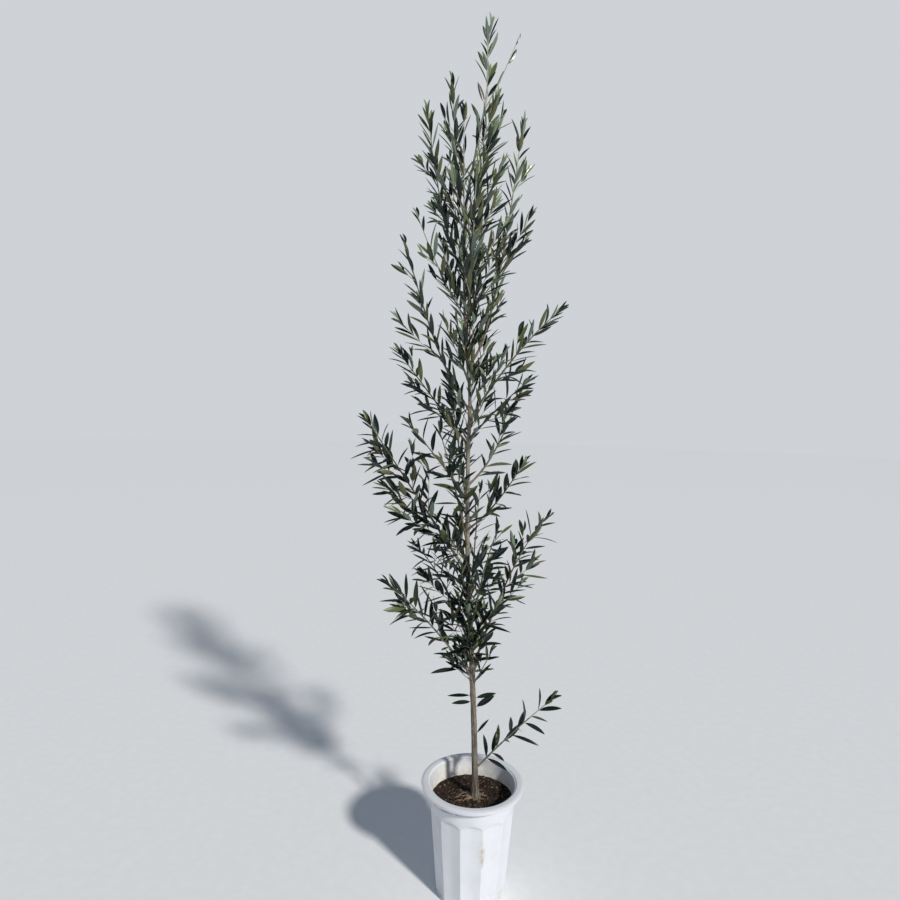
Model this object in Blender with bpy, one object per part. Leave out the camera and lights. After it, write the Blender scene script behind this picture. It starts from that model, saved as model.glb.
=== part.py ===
"""Young olive tree in a white fluted pot, at real size: metres, +Z up.

The pot stands on the plane Z = 0 with its axis on the Z axis. The front of the tree is its -Y
side, so +X is the right of someone who looks at it.

The tree is one slim leader that runs up the middle of the crown. Boughs leave it in turn on all
sides, each a single tapering limb, and at its tip each bough passes into a mass of foliage: a
stem that carries on along the bough's line, side twigs, and leaves in opposite pairs.
"""

import functools
import math
import random

import bmesh
import bpy
import numpy as np
from mathutils import Vector

UP = Vector((0.0, 0.0, 1.0))

# Clearance between pieces that touch
GAP = 0.0003

# Pot: a tapered tub with twelve flutes that end in round arches under a plain band
POT_HEIGHT = 0.321
POT_FOOT_RADIUS = 0.101
POT_SHOULDER_RADIUS = 0.1275
POT_WALL = 0.0035
POT_FLOOR = 0.004
POT_FOOT_BEVEL = 0.004
POT_FOOT_BEVEL_RISE = 0.0035
MOUTH_SLOPE = 0.12

# Rim: a flange whose lip turns down, from its outer edge to the mouth
RIM_RADIUS = 0.150
RIM_HEIGHT = 0.012
RIM_TAPER = 0.003
RIM_THICKNESS = 0.0035
RIM_EDGE = 0.0025
RIM_EDGE_INSET = 0.0008
RIM_MOUTH_RADIUS = 0.128
MOUTH_BEVEL = 0.0015
UNDERCUT = 0.0005

# Flutes: angles in degrees to the right of the front
FLUTE_COUNT = 12
FLUTE_TURN = -2.2
FLUTE_DEPTH = 0.0055
FLUTE_ROUNDNESS = 1.8
FLUTE_BASE = 0.010
ARCH_SPRING = 0.244
ARCH_RISE = 0.018
ARCH_LEDGE = 0.004
STEPS_PER_FLUTE = 4

# Potting mix: a solid plug, a little higher round the trunk than at the wall. The crown's rows
# are (radius, share of the crown's height)
SOIL_LEVEL = 0.268
SOIL_CROWN = 0.004
SOIL_CROWN_ROWS = ((0.055, 0.75), (0.022, 1.0))
SOIL_STEPS = 36

# Trunk: height above the floor against its drift to the right and to the back
TRUNK_FOOT = SOIL_LEVEL + SOIL_CROWN + GAP
TRUNK_BENDS = (
    (0.27, 0.009, 0.000),
    (0.52, -0.001, 0.004),
    (0.97, -0.028, 0.008),
    (1.25, -0.034, 0.002),
    (1.44, -0.033, -0.006),
    (1.62, -0.050, -0.004),
    (1.95, -0.056, 0.006),
    (2.12, -0.031, 0.010),
    (2.27, -0.003, 0.006),
)
TRUNK_TOP = TRUNK_BENDS[-1][0]
TRUNK_FOOT_RADIUS = 0.0090
TRUNK_TIP_RADIUS = 0.0024
TRUNK_TAPER = 0.85
TRUNK_FLARE = 0.0045
FLARE_HEIGHT = 0.030
FLARE_WAIST = 0.3
TRUNK_SIDES = 10
TRUNK_STEP = 0.085
TRUNK_TEST_PIECES = 40

# Boughs. Each row: height at which it leaves the trunk, compass angle (0 right, 90 back,
# 180 left, 270 front), reach from the trunk, rise to its tip, quickness (above 0 it rises
# early and then flattens, below 0 it spreads first and then climbs), bare share, foot radius
BOUGHS = {
    "low_right": (0.353, -20, 0.205, 0.235, 0.1, 0.29, 0.0030),
    "lower_left_front": (0.627, 205, 0.250, 0.290, 0.2, 0.23, 0.0036),
    "lower_right_back": (0.645, 30, 0.245, 0.420, 0.5, 0.19, 0.0042),
    "lower_left_back": (0.709, 130, 0.265, 0.250, 0.6, 0.23, 0.0036),
    "lower_front": (0.760, 285, 0.205, 0.330, 0.3, 0.20, 0.0036),
    "lower_back": (0.820, 82, 0.235, 0.320, 0.2, 0.22, 0.0038),
    "big_left": (0.928, 190, 0.285, 0.425, 0.0, 0.20, 0.0046),
    "middle_front_left": (1.010, 245, 0.195, 0.330, 0.2, 0.20, 0.0034),
    "middle_right_front": (1.059, -35, 0.165, 0.185, -0.4, 0.23, 0.0032),
    "middle_back": (1.110, 105, 0.215, 0.350, 0.1, 0.20, 0.0036),
    "middle_left": (1.145, 225, 0.215, 0.205, 0.1, 0.24, 0.0032),
    "middle_right_back": (1.187, 45, 0.215, 0.250, -0.6, 0.23, 0.0036),
    "upper_left_back": (1.300, 148, 0.245, 0.265, 0.0, 0.22, 0.0034),
    "upper_right_front": (1.315, -50, 0.205, 0.150, 0.2, 0.24, 0.0030),
    "long_right": (1.373, 5, 0.240, 0.305, 0.3, 0.19, 0.0038),
    "upper_left": (1.400, 188, 0.185, 0.440, -0.5, 0.19, 0.0034),
    "upper_back": (1.500, 88, 0.170, 0.420, -0.3, 0.19, 0.0034),
    "right_leader": (1.528, 20, 0.150, 0.670, -0.9, 0.20, 0.0038),
    "upper_front": (1.580, 275, 0.150, 0.400, -0.3, 0.19, 0.0032),
    "left_leader": (1.790, 175, 0.110, 0.420, -0.8, 0.18, 0.0028),
}

# Short leafy shoots set on the trunk itself: the same measures, without a bare share
SHOOTS = {
    "foot_left": (0.520, 175, 0.045, 0.030, 0.0, 0.0012),
    "foot_right": (0.500, 5, 0.050, 0.045, 0.0, 0.0012),
    "low_front": (0.600, 300, 0.090, 0.130, 0.0, 0.0015),
    "low_back": (0.575, 100, 0.095, 0.130, 0.0, 0.0015),
    "inner_right": (0.935, -10, 0.095, 0.120, 0.0, 0.0015),
    "high_right": (1.652, -25, 0.160, 0.190, 0.0, 0.0018),
    "high_left": (1.660, 205, 0.140, 0.240, -0.3, 0.0018),
    "high_back": (1.800, 110, 0.130, 0.330, -0.4, 0.0018),
    "high_front": (1.850, 265, 0.110, 0.300, -0.4, 0.0018),
    "top_left": (1.930, 165, 0.045, 0.365, -0.8, 0.0018),
    "top_back": (2.020, 35, 0.115, 0.235, -0.3, 0.0016),
    "top_front": (2.080, 300, 0.065, 0.200, -0.5, 0.0016),
    "top_right": (2.230, -15, 0.078, 0.150, -0.2, 0.0014),
    "inner_left": (0.840, 222, 0.085, 0.110, 0.0, 0.0015),
    "core_right": (1.345, -32, 0.095, 0.190, -0.2, 0.0016),
    "core_left": (1.470, 220, 0.085, 0.150, 0.0, 0.0015),
}
CROWN_TOP_LINE = ((TRUNK_TOP, -0.003, 0.006), (2.38, -0.005, 0.002), (2.45, 0.001, 0.000))
CROWN_TOP_STEPS = 5

# Limbs and stems
LIMB_SIDES = 6
LIMB_STEP = 0.040
LIMB_TAPER = 0.8
STEM_STEP = 0.055
STEM_TIP_RADIUS = 0.0010
SHARE_STEP = 0.002
SEAT_DEPTH = 0.8
MEASURING_POINTS = 25
CURVED_EDGE = 50

# Twigs: shares are of the stem left beyond the twig's foot, and of the twig's radius
TWIG_SIDES = 3
TWIG_RADIUS = 0.0012
TWIG_TIP_SHARE = 0.6
TWIG_TURN = 0.4
TWIG_SINK = 0.0006
TWIG_SPREAD = 36
TWIG_LIFT = 0.15
TWIG_SHARE = 0.50
TWIG_SCATTER = (0.8, 1.2)
TWIG_SHORTEST = 0.040
TWIG_LONGEST = 0.150
TWIG_PROBE_START = 0.010
TWIG_PROBE_WIDTH = 0.003
TWIG_BARE = 0.6

# Leaves in pairs, each pair a quarter turn from the last
LEAF_LENGTH = 0.086
LEAF_WIDTH = 0.0165
LEAF_THICKNESS = 0.0017
LEAF_SCATTER = (0.85, 1.1)
LEAF_SPREAD = 38
LEAF_SPREAD_SCATTER = 9
LEAF_LIFT = 0.5
LEAF_ROLL = 0.4
LEAF_ROOT_DEPTH = 0.0002
LEAF_THICKEST = 0.07
LEAF_WIDEST = 0.46
PAIR_SPACING = 0.041
PAIR_TWIST = 0.25
LEAF_TWIST = 0.2
STEM_BARE = 0.3
SHORT_STEM_SPACING = 0.4
FIRST_PAIR_SCALE = 0.75
TWIG_PAIR_SCALE = 0.85
END_LEAF_LENGTH = 0.55
END_LEAF_WIDTH = 0.7
END_LEAF_TURN = 1.0
END_LEAF_TILT = 1.2

# Space of each mass, and the places along a leaf or twig that are tested: share, width there
SPACE_MARGIN = 0.004
LIMB_CLEARANCE = 0.0025
POT_CLEARANCE = 0.012
PROBE_PLACES = (
    (0.12, 0.3),
    (0.30, 0.7),
    (0.46, 1.0),
    (0.60, 0.8),
    (0.75, 0.5),
    (0.88, 0.0),
    (1.00, 0.0),
)
SEED = 11


def clear_scene():
    for obj in list(bpy.data.objects):
        bpy.data.objects.remove(obj, do_unlink=True)


def make_material(name, colour, roughness):
    material = bpy.data.materials.new(name)
    material.use_nodes = True
    shader = material.node_tree.nodes["Principled BSDF"]
    shader.inputs["Base Color"].default_value = (*colour, 1.0)
    shader.inputs["Roughness"].default_value = roughness
    shader.inputs["Metallic"].default_value = 0.0
    material.diffuse_color = (*colour, 1.0)
    return material


def make_object(name, bm, material, sharp_edge=None):
    """Turn a bmesh into a named object whose faces all point outward."""
    bmesh.ops.recalc_face_normals(bm, faces=bm.faces)
    mesh = bpy.data.meshes.new(name)
    bm.to_mesh(mesh)
    bm.free()
    mesh.materials.append(material)
    if sharp_edge:
        mesh.shade_smooth()
        mesh.set_sharp_from_angle(angle=math.radians(sharp_edge))
    obj = bpy.data.objects.new(name, mesh)
    bpy.context.scene.collection.objects.link(obj)
    return obj


def skin_rings(bm, rings):
    """Bridge successive rings of points with quads and cap the two ends."""
    loops = [[bm.verts.new(point) for point in ring] for ring in rings]
    for low, high in zip(loops, loops[1:]):
        count = len(low)
        for i in range(count):
            j = (i + 1) % count
            bm.faces.new((low[i], low[j], high[j], high[i]))
    bm.faces.new(list(reversed(loops[0])))
    bm.faces.new(loops[-1])


def even_shares(start, end, count):
    return [start + (end - start) * k / (count - 1) for k in range(count)]


# Pot and potting mix


def round_the_axis(radius, angle, height):
    """A point of the pot, with the angle measured to the right of the front."""
    return Vector((radius * math.sin(angle), -radius * math.cos(angle), height))


def pot_outer_radius(height):
    share = min(max(height / (POT_HEIGHT - RIM_HEIGHT), 0.0), 1.0)
    return POT_FOOT_RADIUS + (POT_SHOULDER_RADIUS - POT_FOOT_RADIUS) * share


def pot_inner_radius(height):
    """The bore: clear of the flutes below the arches, and opening to the mouth above them."""
    below = pot_outer_radius(height) - FLUTE_DEPTH - POT_WALL
    mouth = RIM_MOUTH_RADIUS - (POT_HEIGHT - height) * MOUTH_SLOPE
    above = min(mouth, pot_outer_radius(height) - POT_WALL)
    turn = ARCH_SPRING + ARCH_RISE + ARCH_LEDGE
    share = min(max((height - ARCH_SPRING) / (turn - ARCH_SPRING), 0.0), 1.0)
    return below + (above - below) * share


def flute_sink(across):
    """Depth of a flute at -1..1 across it: nothing at the ridges, deepest in the middle."""
    return FLUTE_DEPTH * (1.0 - abs(across) ** FLUTE_ROUNDNESS)


def arch_height(across):
    return ARCH_SPRING + ARCH_RISE * math.sqrt(max(0.0, 1.0 - across * across))


def pot_rows(across):
    """(radius, height) up the fluted outside, over the rim and down the inside."""
    arch = arch_height(across)
    sink = flute_sink(across)
    under_rim = POT_HEIGHT - RIM_THICKNESS
    outside = [
        (POT_FOOT_RADIUS - POT_FOOT_BEVEL, 0.0),
        (POT_FOOT_RADIUS, POT_FOOT_BEVEL_RISE),
        (pot_outer_radius(FLUTE_BASE) - sink, FLUTE_BASE),
        (pot_outer_radius(arch - ARCH_LEDGE) - sink, arch - ARCH_LEDGE),
        (pot_outer_radius(arch), arch),
        (POT_SHOULDER_RADIUS + UNDERCUT, under_rim),
    ]
    rim = [
        (RIM_RADIUS - RIM_TAPER - RIM_THICKNESS, under_rim),
        (RIM_RADIUS - RIM_TAPER - RIM_THICKNESS, POT_HEIGHT - RIM_HEIGHT),
        (RIM_RADIUS - RIM_TAPER, POT_HEIGHT - RIM_HEIGHT),
        (RIM_RADIUS - RIM_EDGE_INSET, POT_HEIGHT - RIM_EDGE),
        (RIM_RADIUS - RIM_TAPER, POT_HEIGHT),
        (RIM_MOUTH_RADIUS + MOUTH_BEVEL, POT_HEIGHT),
        (RIM_MOUTH_RADIUS - UNDERCUT, POT_HEIGHT - RIM_EDGE),
    ]
    bore = (ARCH_SPRING + ARCH_RISE + ARCH_LEDGE, ARCH_SPRING, POT_FLOOR)
    return outside + rim + [(pot_inner_radius(height), height) for height in bore]


def build_pot(material):
    columns = FLUTE_COUNT * STEPS_PER_FLUTE
    first_ridge = math.radians(FLUTE_TURN) + math.pi / FLUTE_COUNT
    profiles = []
    for column in range(columns):
        across = 2.0 * (column % STEPS_PER_FLUTE) / STEPS_PER_FLUTE - 1.0
        angle = first_ridge + 2.0 * math.pi * column / columns
        profiles.append([round_the_axis(r, angle, h) for r, h in pot_rows(across)])
    bm = bmesh.new()
    skin_rings(bm, list(zip(*profiles)))
    make_object("pot", bm, material, sharp_edge=24)


def build_soil(material):
    profile = [
        (pot_inner_radius(height) - 2.0 * GAP, height)
        for height in (POT_FLOOR + GAP, ARCH_SPRING, SOIL_LEVEL)
    ]
    profile += [(radius, SOIL_LEVEL + share * SOIL_CROWN) for radius, share in SOIL_CROWN_ROWS]
    angles = [2.0 * math.pi * k / SOIL_STEPS for k in range(SOIL_STEPS)]
    bm = bmesh.new()
    skin_rings(bm, [[round_the_axis(r, a, h) for a in angles] for r, h in profile])
    make_object("potting_mix", bm, material)


# Lines of the trunk and the limbs


def smooth_line(points, height):
    """Catmull-Rom line through (height, right, back) points, read at a height."""
    heights = [p[0] for p in points]
    last = len(points) - 2
    k = 0
    while k < last and height > heights[k + 1]:
        k += 1
    span = heights[k + 1] - heights[k]
    t = min(max((height - heights[k]) / span, 0.0), 1.0)
    before = points[max(k - 1, 0)]
    after = points[min(k + 2, last + 1)]
    sides = []
    for axis in (1, 2):
        a, b = points[k][axis], points[k + 1][axis]
        slope_a = (b - before[axis]) / (heights[k + 1] - before[0])
        slope_b = (after[axis] - a) / (after[0] - heights[k])
        sides.append(
            (2 * t**3 - 3 * t**2 + 1) * a
            + (t**3 - 2 * t**2 + t) * span * slope_a
            + (3 * t**2 - 2 * t**3) * b
            + (t**3 - t**2) * span * slope_b
        )
    return Vector((sides[0], sides[1], height))


def trunk_point(height):
    return smooth_line(TRUNK_BENDS, height)


def trunk_radius(height):
    share = (height - TRUNK_FOOT) / (TRUNK_TOP - TRUNK_FOOT)
    flare = TRUNK_FLARE * math.exp(-3.0 * (height - TRUNK_FOOT) / FLARE_HEIGHT)
    return TRUNK_FOOT_RADIUS + (TRUNK_TIP_RADIUS - TRUNK_FOOT_RADIUS) * share**TRUNK_TAPER + flare


@functools.cache
def trunk_rings():
    """Heights and corners of the trunk's sections, from the flat foot to the tip."""
    heights = [TRUNK_FOOT, TRUNK_FOOT + FLARE_WAIST * FLARE_HEIGHT, TRUNK_FOOT + FLARE_HEIGHT]
    count = round((TRUNK_TOP - heights[-1]) / TRUNK_STEP)
    heights += even_shares(heights[-1], TRUNK_TOP, count + 1)[1:]
    points = [trunk_point(h) for h in heights]
    rings = tube_rings(points, [trunk_radius(h) for h in heights], TRUNK_SIDES)
    rings[0] = [Vector((p.x, p.y, TRUNK_FOOT)) for p in rings[0]]
    return heights, rings


def limb_line(row):
    """A function that gives the limb's centre at 0 (on the trunk's axis) to 1 (its tip)."""
    leaves_at, angle, reach, rise, quickness = row[:5]
    foot = trunk_point(leaves_at)
    outward = Vector((math.cos(math.radians(angle)), math.sin(math.radians(angle)), 0.0))

    def point(t):
        lift = rise * (t + quickness * t * (1.0 - t))
        return foot + outward * (reach * t) + UP * lift

    return point, outward


def sample(point, start, end, step):
    """Points along a line from start to end, about one step apart, and their shares."""
    rough = [point(share) for share in even_shares(start, end, MEASURING_POINTS)]
    length = sum((b - a).length for a, b in zip(rough, rough[1:]))
    shares = even_shares(start, end, max(2, round(length / step) + 1))
    return [point(share) for share in shares], shares


def frames(points):
    """A tangent and two side directions at each point, carried along without twist."""
    last = len(points) - 1
    ends = [(points[max(k - 1, 0)], points[min(k + 1, last)]) for k in range(last + 1)]
    tangents = [(ahead - behind).normalized() for behind, ahead in ends]
    side = tangents[0].cross(UP)
    if side.length < 1e-4:
        side = Vector((1.0, 0.0, 0.0))
    result = []
    for tangent in tangents:
        side = (side - tangent * side.dot(tangent)).normalized()
        result.append((side, tangent.cross(side)))
    return result


def tube_rings(points, radii, sides, turn=0.0):
    angles = [turn + 2.0 * math.pi * k / sides for k in range(sides)]
    return [
        [centre + side * (radius * math.cos(a)) + other * (radius * math.sin(a)) for a in angles]
        for centre, radius, (side, other) in zip(points, radii, frames(points))
    ]


def trunk_section(height):
    """The trunk's corners at a height, and the direction of the straight piece they are on."""
    heights, rings = trunk_rings()
    k = 0
    while k < len(heights) - 2 and height > heights[k + 1]:
        k += 1
    share = (height - heights[k]) / (heights[k + 1] - heights[k])
    corners = [low.lerp(high, share) for low, high in zip(rings[k], rings[k + 1])]
    along = trunk_point(heights[k + 1]) - trunk_point(heights[k])
    return corners, along.normalized()


def seat_on_trunk(ring, direction, outward):
    """Slide a limb's first ring along the limb on to a plane that lies just off the trunk."""
    middle = sum(ring, Vector()) / len(ring)
    _, along = trunk_section(middle.z)
    normal = (outward - along * outward.dot(along)).normalized()
    for _ in range(2):
        lowest, highest = min(p.z for p in ring), max(p.z for p in ring)
        corners = []
        for height in (lowest, 0.5 * (lowest + highest), highest):
            corners += trunk_section(height)[0]
        plane = max(c.dot(normal) for c in corners) + GAP
        ring = [p + direction * ((plane - p.dot(normal)) / direction.dot(normal)) for p in ring]
    return ring


def seat_on_tip(ring, tip, tangent):
    """Slide a stem's first ring on to the plane just beyond the end face of its limb."""
    plane = tip + tangent * GAP
    return [p - tangent * (p - plane).dot(tangent) for p in ring]


def first_clear_share(point, outward, leaves_at, radius):
    """Where along a limb its centre is well outside the trunk."""
    centre = trunk_point(leaves_at)
    clear = trunk_radius(leaves_at) + GAP + SEAT_DEPTH * radius
    t = 0.0
    while (point(t) - centre).dot(outward) < clear:
        t += SHARE_STEP
    return t


def limb_radius(foot_radius, t):
    """A limb's taper over its whole length, bare part and leafy stem together."""
    return foot_radius + (STEM_TIP_RADIUS - foot_radius) * t**LIMB_TAPER


# Trunk, boughs and the stems that carry on from them


def build_trunk(material):
    bm = bmesh.new()
    skin_rings(bm, trunk_rings()[1])
    make_object("trunk", bm, material, sharp_edge=CURVED_EDGE)


def build_bough(name, row, material):
    """The bare part of a bough, from just off the trunk to the foot of its mass."""
    leaves_at, bare, foot_radius = row[0], row[5], row[6]
    point, outward = limb_line(row)
    start = first_clear_share(point, outward, leaves_at, foot_radius)
    points, shares = sample(point, start, bare, LIMB_STEP)
    radii = [limb_radius(foot_radius, share) for share in shares]
    rings = tube_rings(points, radii, LIMB_SIDES)
    rings[0] = seat_on_trunk(rings[0], (points[1] - points[0]).normalized(), outward)
    bm = bmesh.new()
    skin_rings(bm, rings)
    make_object("bough_" + name, bm, material, sharp_edge=CURVED_EDGE)
    return points, radii


def bough_stem(row, bough_points):
    """A leafy stem that carries on from a bough's tip: points, radii and how it is seated."""
    point, _ = limb_line(row)
    bare, foot_radius = row[5], row[6]
    tip = bough_points[-1]
    tangent = (tip - bough_points[-2]).normalized()
    begin = bare + GAP / (point(1.0) - point(bare)).length * (1.0 - bare)
    stem, shares = sample(point, begin, 1.0, STEM_STEP)
    stem[0] = tip + tangent * GAP
    radii = [limb_radius(foot_radius, share) for share in shares]
    return stem, radii, functools.partial(seat_on_tip, tip=tip, tangent=tangent)


def shoot_stem(row):
    """The stem of a shoot on the trunk: points, radii and how it is seated."""
    point, outward = limb_line(row)
    leaves_at, foot_radius = row[0], row[5]
    start = first_clear_share(point, outward, leaves_at, foot_radius)
    stem, shares = sample(point, start, 1.0, STEM_STEP)
    radii = [limb_radius(foot_radius, share) for share in shares]
    direction = (stem[1] - stem[0]).normalized()
    return stem, radii, functools.partial(seat_on_trunk, direction=direction, outward=outward)


def crown_top_stem():
    """The stem that carries on from the trunk's tip: points, radii and how it is seated."""
    heights = even_shares(TRUNK_TOP + GAP, CROWN_TOP_LINE[-1][0], CROWN_TOP_STEPS + 1)
    stem = [smooth_line(CROWN_TOP_LINE, height) for height in heights]
    shares = even_shares(0.0, 1.0, CROWN_TOP_STEPS + 1)
    radii = [limb_radius(TRUNK_TIP_RADIUS, share) for share in shares]
    tip = trunk_point(TRUNK_TOP)
    tangent = (tip - trunk_point(TRUNK_TOP - TRUNK_STEP)).normalized()
    return stem, radii, functools.partial(seat_on_tip, tip=tip, tangent=tangent)


# Space that a mass of foliage may use


class StraightPieces:
    """Straight pieces with a radius and an owner each, for distance tests."""

    def __init__(self, lines):
        starts, ends, radii, owners = [], [], [], []
        for points, line_radii, owner in lines:
            for k in range(len(points) - 1):
                starts.append(points[k][:])
                ends.append(points[k + 1][:])
                radii.append(max(line_radii[k], line_radii[k + 1]))
                owners.append(owner)
        self.starts = np.array(starts)
        self.spans = np.array(ends) - self.starts
        self.squares = (self.spans**2).sum(1)
        self.radii = np.array(radii)
        self.owners = np.array(owners)

    def distances(self, probe):
        """Distance from one point to the skin of each piece."""
        away = np.array(probe[:]) - self.starts
        share = np.clip((away * self.spans).sum(1) / self.squares, 0.0, 1.0)
        return np.linalg.norm(away - self.spans * share[:, None], axis=1) - self.radii


def probes_between(start, end, half_width, side):
    """Points that stand for a leaf or a twig in the tests: its line and its two edges."""
    found = []
    for share, width in PROBE_PLACES:
        centre = start + (end - start) * share
        found.append(centre)
        if width:
            found.append(centre + side * (half_width * width))
            found.append(centre - side * (half_width * width))
    return found


def in_own_space(probes, owner, stems, limbs):
    """True where every probe is nearest to its own mass's stem and clear of limbs and pot."""
    for probe in probes:
        if limbs.distances(probe).min() < LIMB_CLEARANCE:
            return False
        gaps = stems.distances(probe)
        own = gaps[stems.owners == owner].min()
        others = gaps[stems.owners != owner].min()
        if others - own < SPACE_MARGIN:
            return False
        from_axis = math.hypot(probe.x, probe.y)
        if probe.z < POT_HEIGHT + POT_CLEARANCE and from_axis < RIM_RADIUS + POT_CLEARANCE:
            return False
    return True


# Foliage

# Corners of a leaf: 0 root, 1 tip, 2 and 3 the edges, 4 and 5 the upper and lower crease
LEAF_FACES = (
    (0, 2, 4),
    (0, 4, 3),
    (0, 3, 5),
    (0, 5, 2),
    (1, 4, 2),
    (1, 3, 4),
    (1, 5, 3),
    (1, 2, 5),
)


def leaf_corners(root, direction, side, length, width):
    """The six corners of a lance-shaped leaf."""
    normal = side.cross(direction)
    widest = root + direction * (length * LEAF_WIDEST)
    thickest = root + direction * (length * LEAF_THICKEST)
    return [
        root - direction * LEAF_ROOT_DEPTH,
        root + direction * length,
        widest + side * (0.5 * width),
        widest - side * (0.5 * width),
        thickest + normal * (0.5 * LEAF_THICKNESS),
        thickest - normal * (0.5 * LEAF_THICKNESS),
    ]


def side_direction(tangent, turn, spread):
    """A direction that leaves a shoot at an angle, at a given turn round it."""
    helper = UP if abs(tangent.z) < 0.95 else Vector((1.0, 0.0, 0.0))
    first = tangent.cross(helper).normalized()
    second = tangent.cross(first)
    outward = first * math.cos(turn) + second * math.sin(turn)
    return (tangent * math.cos(spread) + outward * math.sin(spread)).normalized()


def shoot_nodes(points, spacing, start):
    """(place, tangent, distance) at even steps along a shoot, from its tip back to its start."""
    lengths = [0.0]
    for a, b in zip(points, points[1:]):
        lengths.append(lengths[-1] + (b - a).length)
    result = []
    distance = lengths[-1]
    while distance > start:
        k = max(i for i in range(len(points) - 1) if lengths[i] <= distance)
        share = (distance - lengths[k]) / (lengths[k + 1] - lengths[k])
        place = points[k].lerp(points[k + 1], min(share, 1.0))
        result.append((place, (points[k + 1] - points[k]).normalized(), distance))
        distance -= spacing
    return result


class Mass:
    """The twigs and leaves of one mass, each kept only where it stays in its own space."""

    def __init__(self, owner, stems, limbs):
        self.owner, self.stems, self.limbs = owner, stems, limbs
        self.rng = random.Random(SEED * 1000 + owner)
        self.twigs, self.leaves = [], []

    def fits(self, start, end, half_width, side):
        probes = probes_between(start, end, half_width, side)
        return in_own_space(probes, self.owner, self.stems, self.limbs)

    def add_leaf(self, place, direction, facing, length, width):
        side = direction.cross(facing).normalized()
        if self.fits(place, place + direction * length, 0.5 * width, side):
            self.leaves.append(leaf_corners(place, direction, side, length, width))

    def add_end_leaf(self, place, tangent):
        facing = side_direction(tangent, END_LEAF_TURN, END_LEAF_TILT)
        length, width = END_LEAF_LENGTH * LEAF_LENGTH, END_LEAF_WIDTH * LEAF_WIDTH
        self.add_leaf(place, tangent, facing, length, width)

    def add_pair(self, place, tangent, turn, scale):
        rng = self.rng
        for half in (0.0, math.pi):
            spread = LEAF_SPREAD + rng.uniform(-LEAF_SPREAD_SCATTER, LEAF_SPREAD_SCATTER)
            leaf_turn = turn + half + rng.uniform(-LEAF_TWIST, LEAF_TWIST)
            direction = side_direction(tangent, leaf_turn, math.radians(spread))
            length = LEAF_LENGTH * scale * rng.uniform(*LEAF_SCATTER)
            width = LEAF_WIDTH * rng.uniform(*LEAF_SCATTER)
            roll = Vector([rng.uniform(-LEAF_ROLL, LEAF_ROLL) for _ in "xyz"])
            self.add_leaf(place, direction, tangent + UP * LEAF_LIFT + roll, length, width)

    def add_twig(self, place, tangent, turn, length):
        direction = side_direction(tangent, turn, math.radians(TWIG_SPREAD))
        end = place + (direction + UP * TWIG_LIFT) * length
        side = tangent.cross(direction).normalized()
        if not self.fits(place + direction * TWIG_PROBE_START, end, TWIG_PROBE_WIDTH, side):
            return
        self.twigs.append((place, end))
        pair_turn = self.rng.uniform(0.0, math.pi)
        nodes = shoot_nodes([place, end], PAIR_SPACING, TWIG_BARE * PAIR_SPACING)
        self.add_end_leaf(*nodes[0][:2])
        for pair_place, twig_tangent, _ in nodes[1:]:
            pair_turn += 0.5 * math.pi
            self.add_pair(pair_place, twig_tangent, pair_turn, TWIG_PAIR_SCALE)

    def grow(self, stem):
        """Walk from the stem's tip to its foot: a pair at each node, a twig at every second."""
        turn = self.rng.uniform(0.0, math.pi)
        length = sum((b - a).length for a, b in zip(stem, stem[1:]))
        spacing = min(PAIR_SPACING, SHORT_STEM_SPACING * length)
        nodes = shoot_nodes(stem, spacing, STEM_BARE * spacing)
        self.add_end_leaf(*nodes[0][:2])
        for index, (place, tangent, distance) in enumerate(nodes[1:], 1):
            turn += 0.5 * math.pi + self.rng.uniform(-PAIR_TWIST, PAIR_TWIST)
            self.add_pair(place, tangent, turn, FIRST_PAIR_SCALE if index == 1 else 1.0)
            room = nodes[0][2] - distance
            twig_length = min(TWIG_SHARE * room, TWIG_LONGEST) * self.rng.uniform(*TWIG_SCATTER)
            if index % 2 == 0 and twig_length >= TWIG_SHORTEST:
                self.add_twig(place, tangent, turn + 0.5 * math.pi, twig_length)


def twig_solid(start, end, material):
    inner = start - (end - start).normalized() * TWIG_SINK
    radii = [TWIG_RADIUS, TWIG_RADIUS * TWIG_TIP_SHARE]
    bm = bmesh.new()
    skin_rings(bm, tube_rings([inner, end], radii, TWIG_SIDES, TWIG_TURN))
    return make_object("twig", bm, material)


def leaf_solid(corners, material):
    bm = bmesh.new()
    verts = [bm.verts.new(corner) for corner in corners]
    for face in LEAF_FACES:
        bm.faces.new([verts[i] for i in face])
    return make_object("leaf", bm, material)


def keep_largest_body(mesh):
    """Drop loose scraps and fill sealed hollows: both are shells apart from the main one."""
    bm = bmesh.new()
    bm.from_mesh(mesh)
    unseen = set(bm.verts)
    bodies = []
    while unseen:
        pending = [unseen.pop()]
        body = set(pending)
        while pending:
            for edge in pending.pop().link_edges:
                for vert in edge.verts:
                    if vert in unseen:
                        unseen.discard(vert)
                        body.add(vert)
                        pending.append(vert)
        bodies.append(body)
    largest = max(bodies, key=len)
    loose = [v for body in bodies if body is not largest for v in body]
    bmesh.ops.delete(bm, geom=loose, context="VERTS")
    bm.to_mesh(mesh)
    bm.free()


def join_solids(base, pieces, material):
    """Unite a mass's twigs and leaves with its stem, and keep the one body that results."""
    pile = bpy.data.collections.new(base.name + "_pieces")
    bpy.context.scene.collection.children.link(pile)
    for piece in pieces:
        bpy.context.scene.collection.objects.unlink(piece)
        pile.objects.link(piece)
    join = base.modifiers.new("join", "BOOLEAN")
    join.operation = "UNION"
    join.operand_type = "COLLECTION"
    join.collection = pile
    join.solver = "EXACT"
    bpy.context.view_layer.objects.active = base
    bpy.ops.object.modifier_apply(modifier=join.name)
    for piece in pieces:
        bpy.data.objects.remove(piece, do_unlink=True)
    bpy.data.collections.remove(pile)
    keep_largest_body(base.data)
    base.data.materials.clear()
    base.data.materials.append(material)


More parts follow.
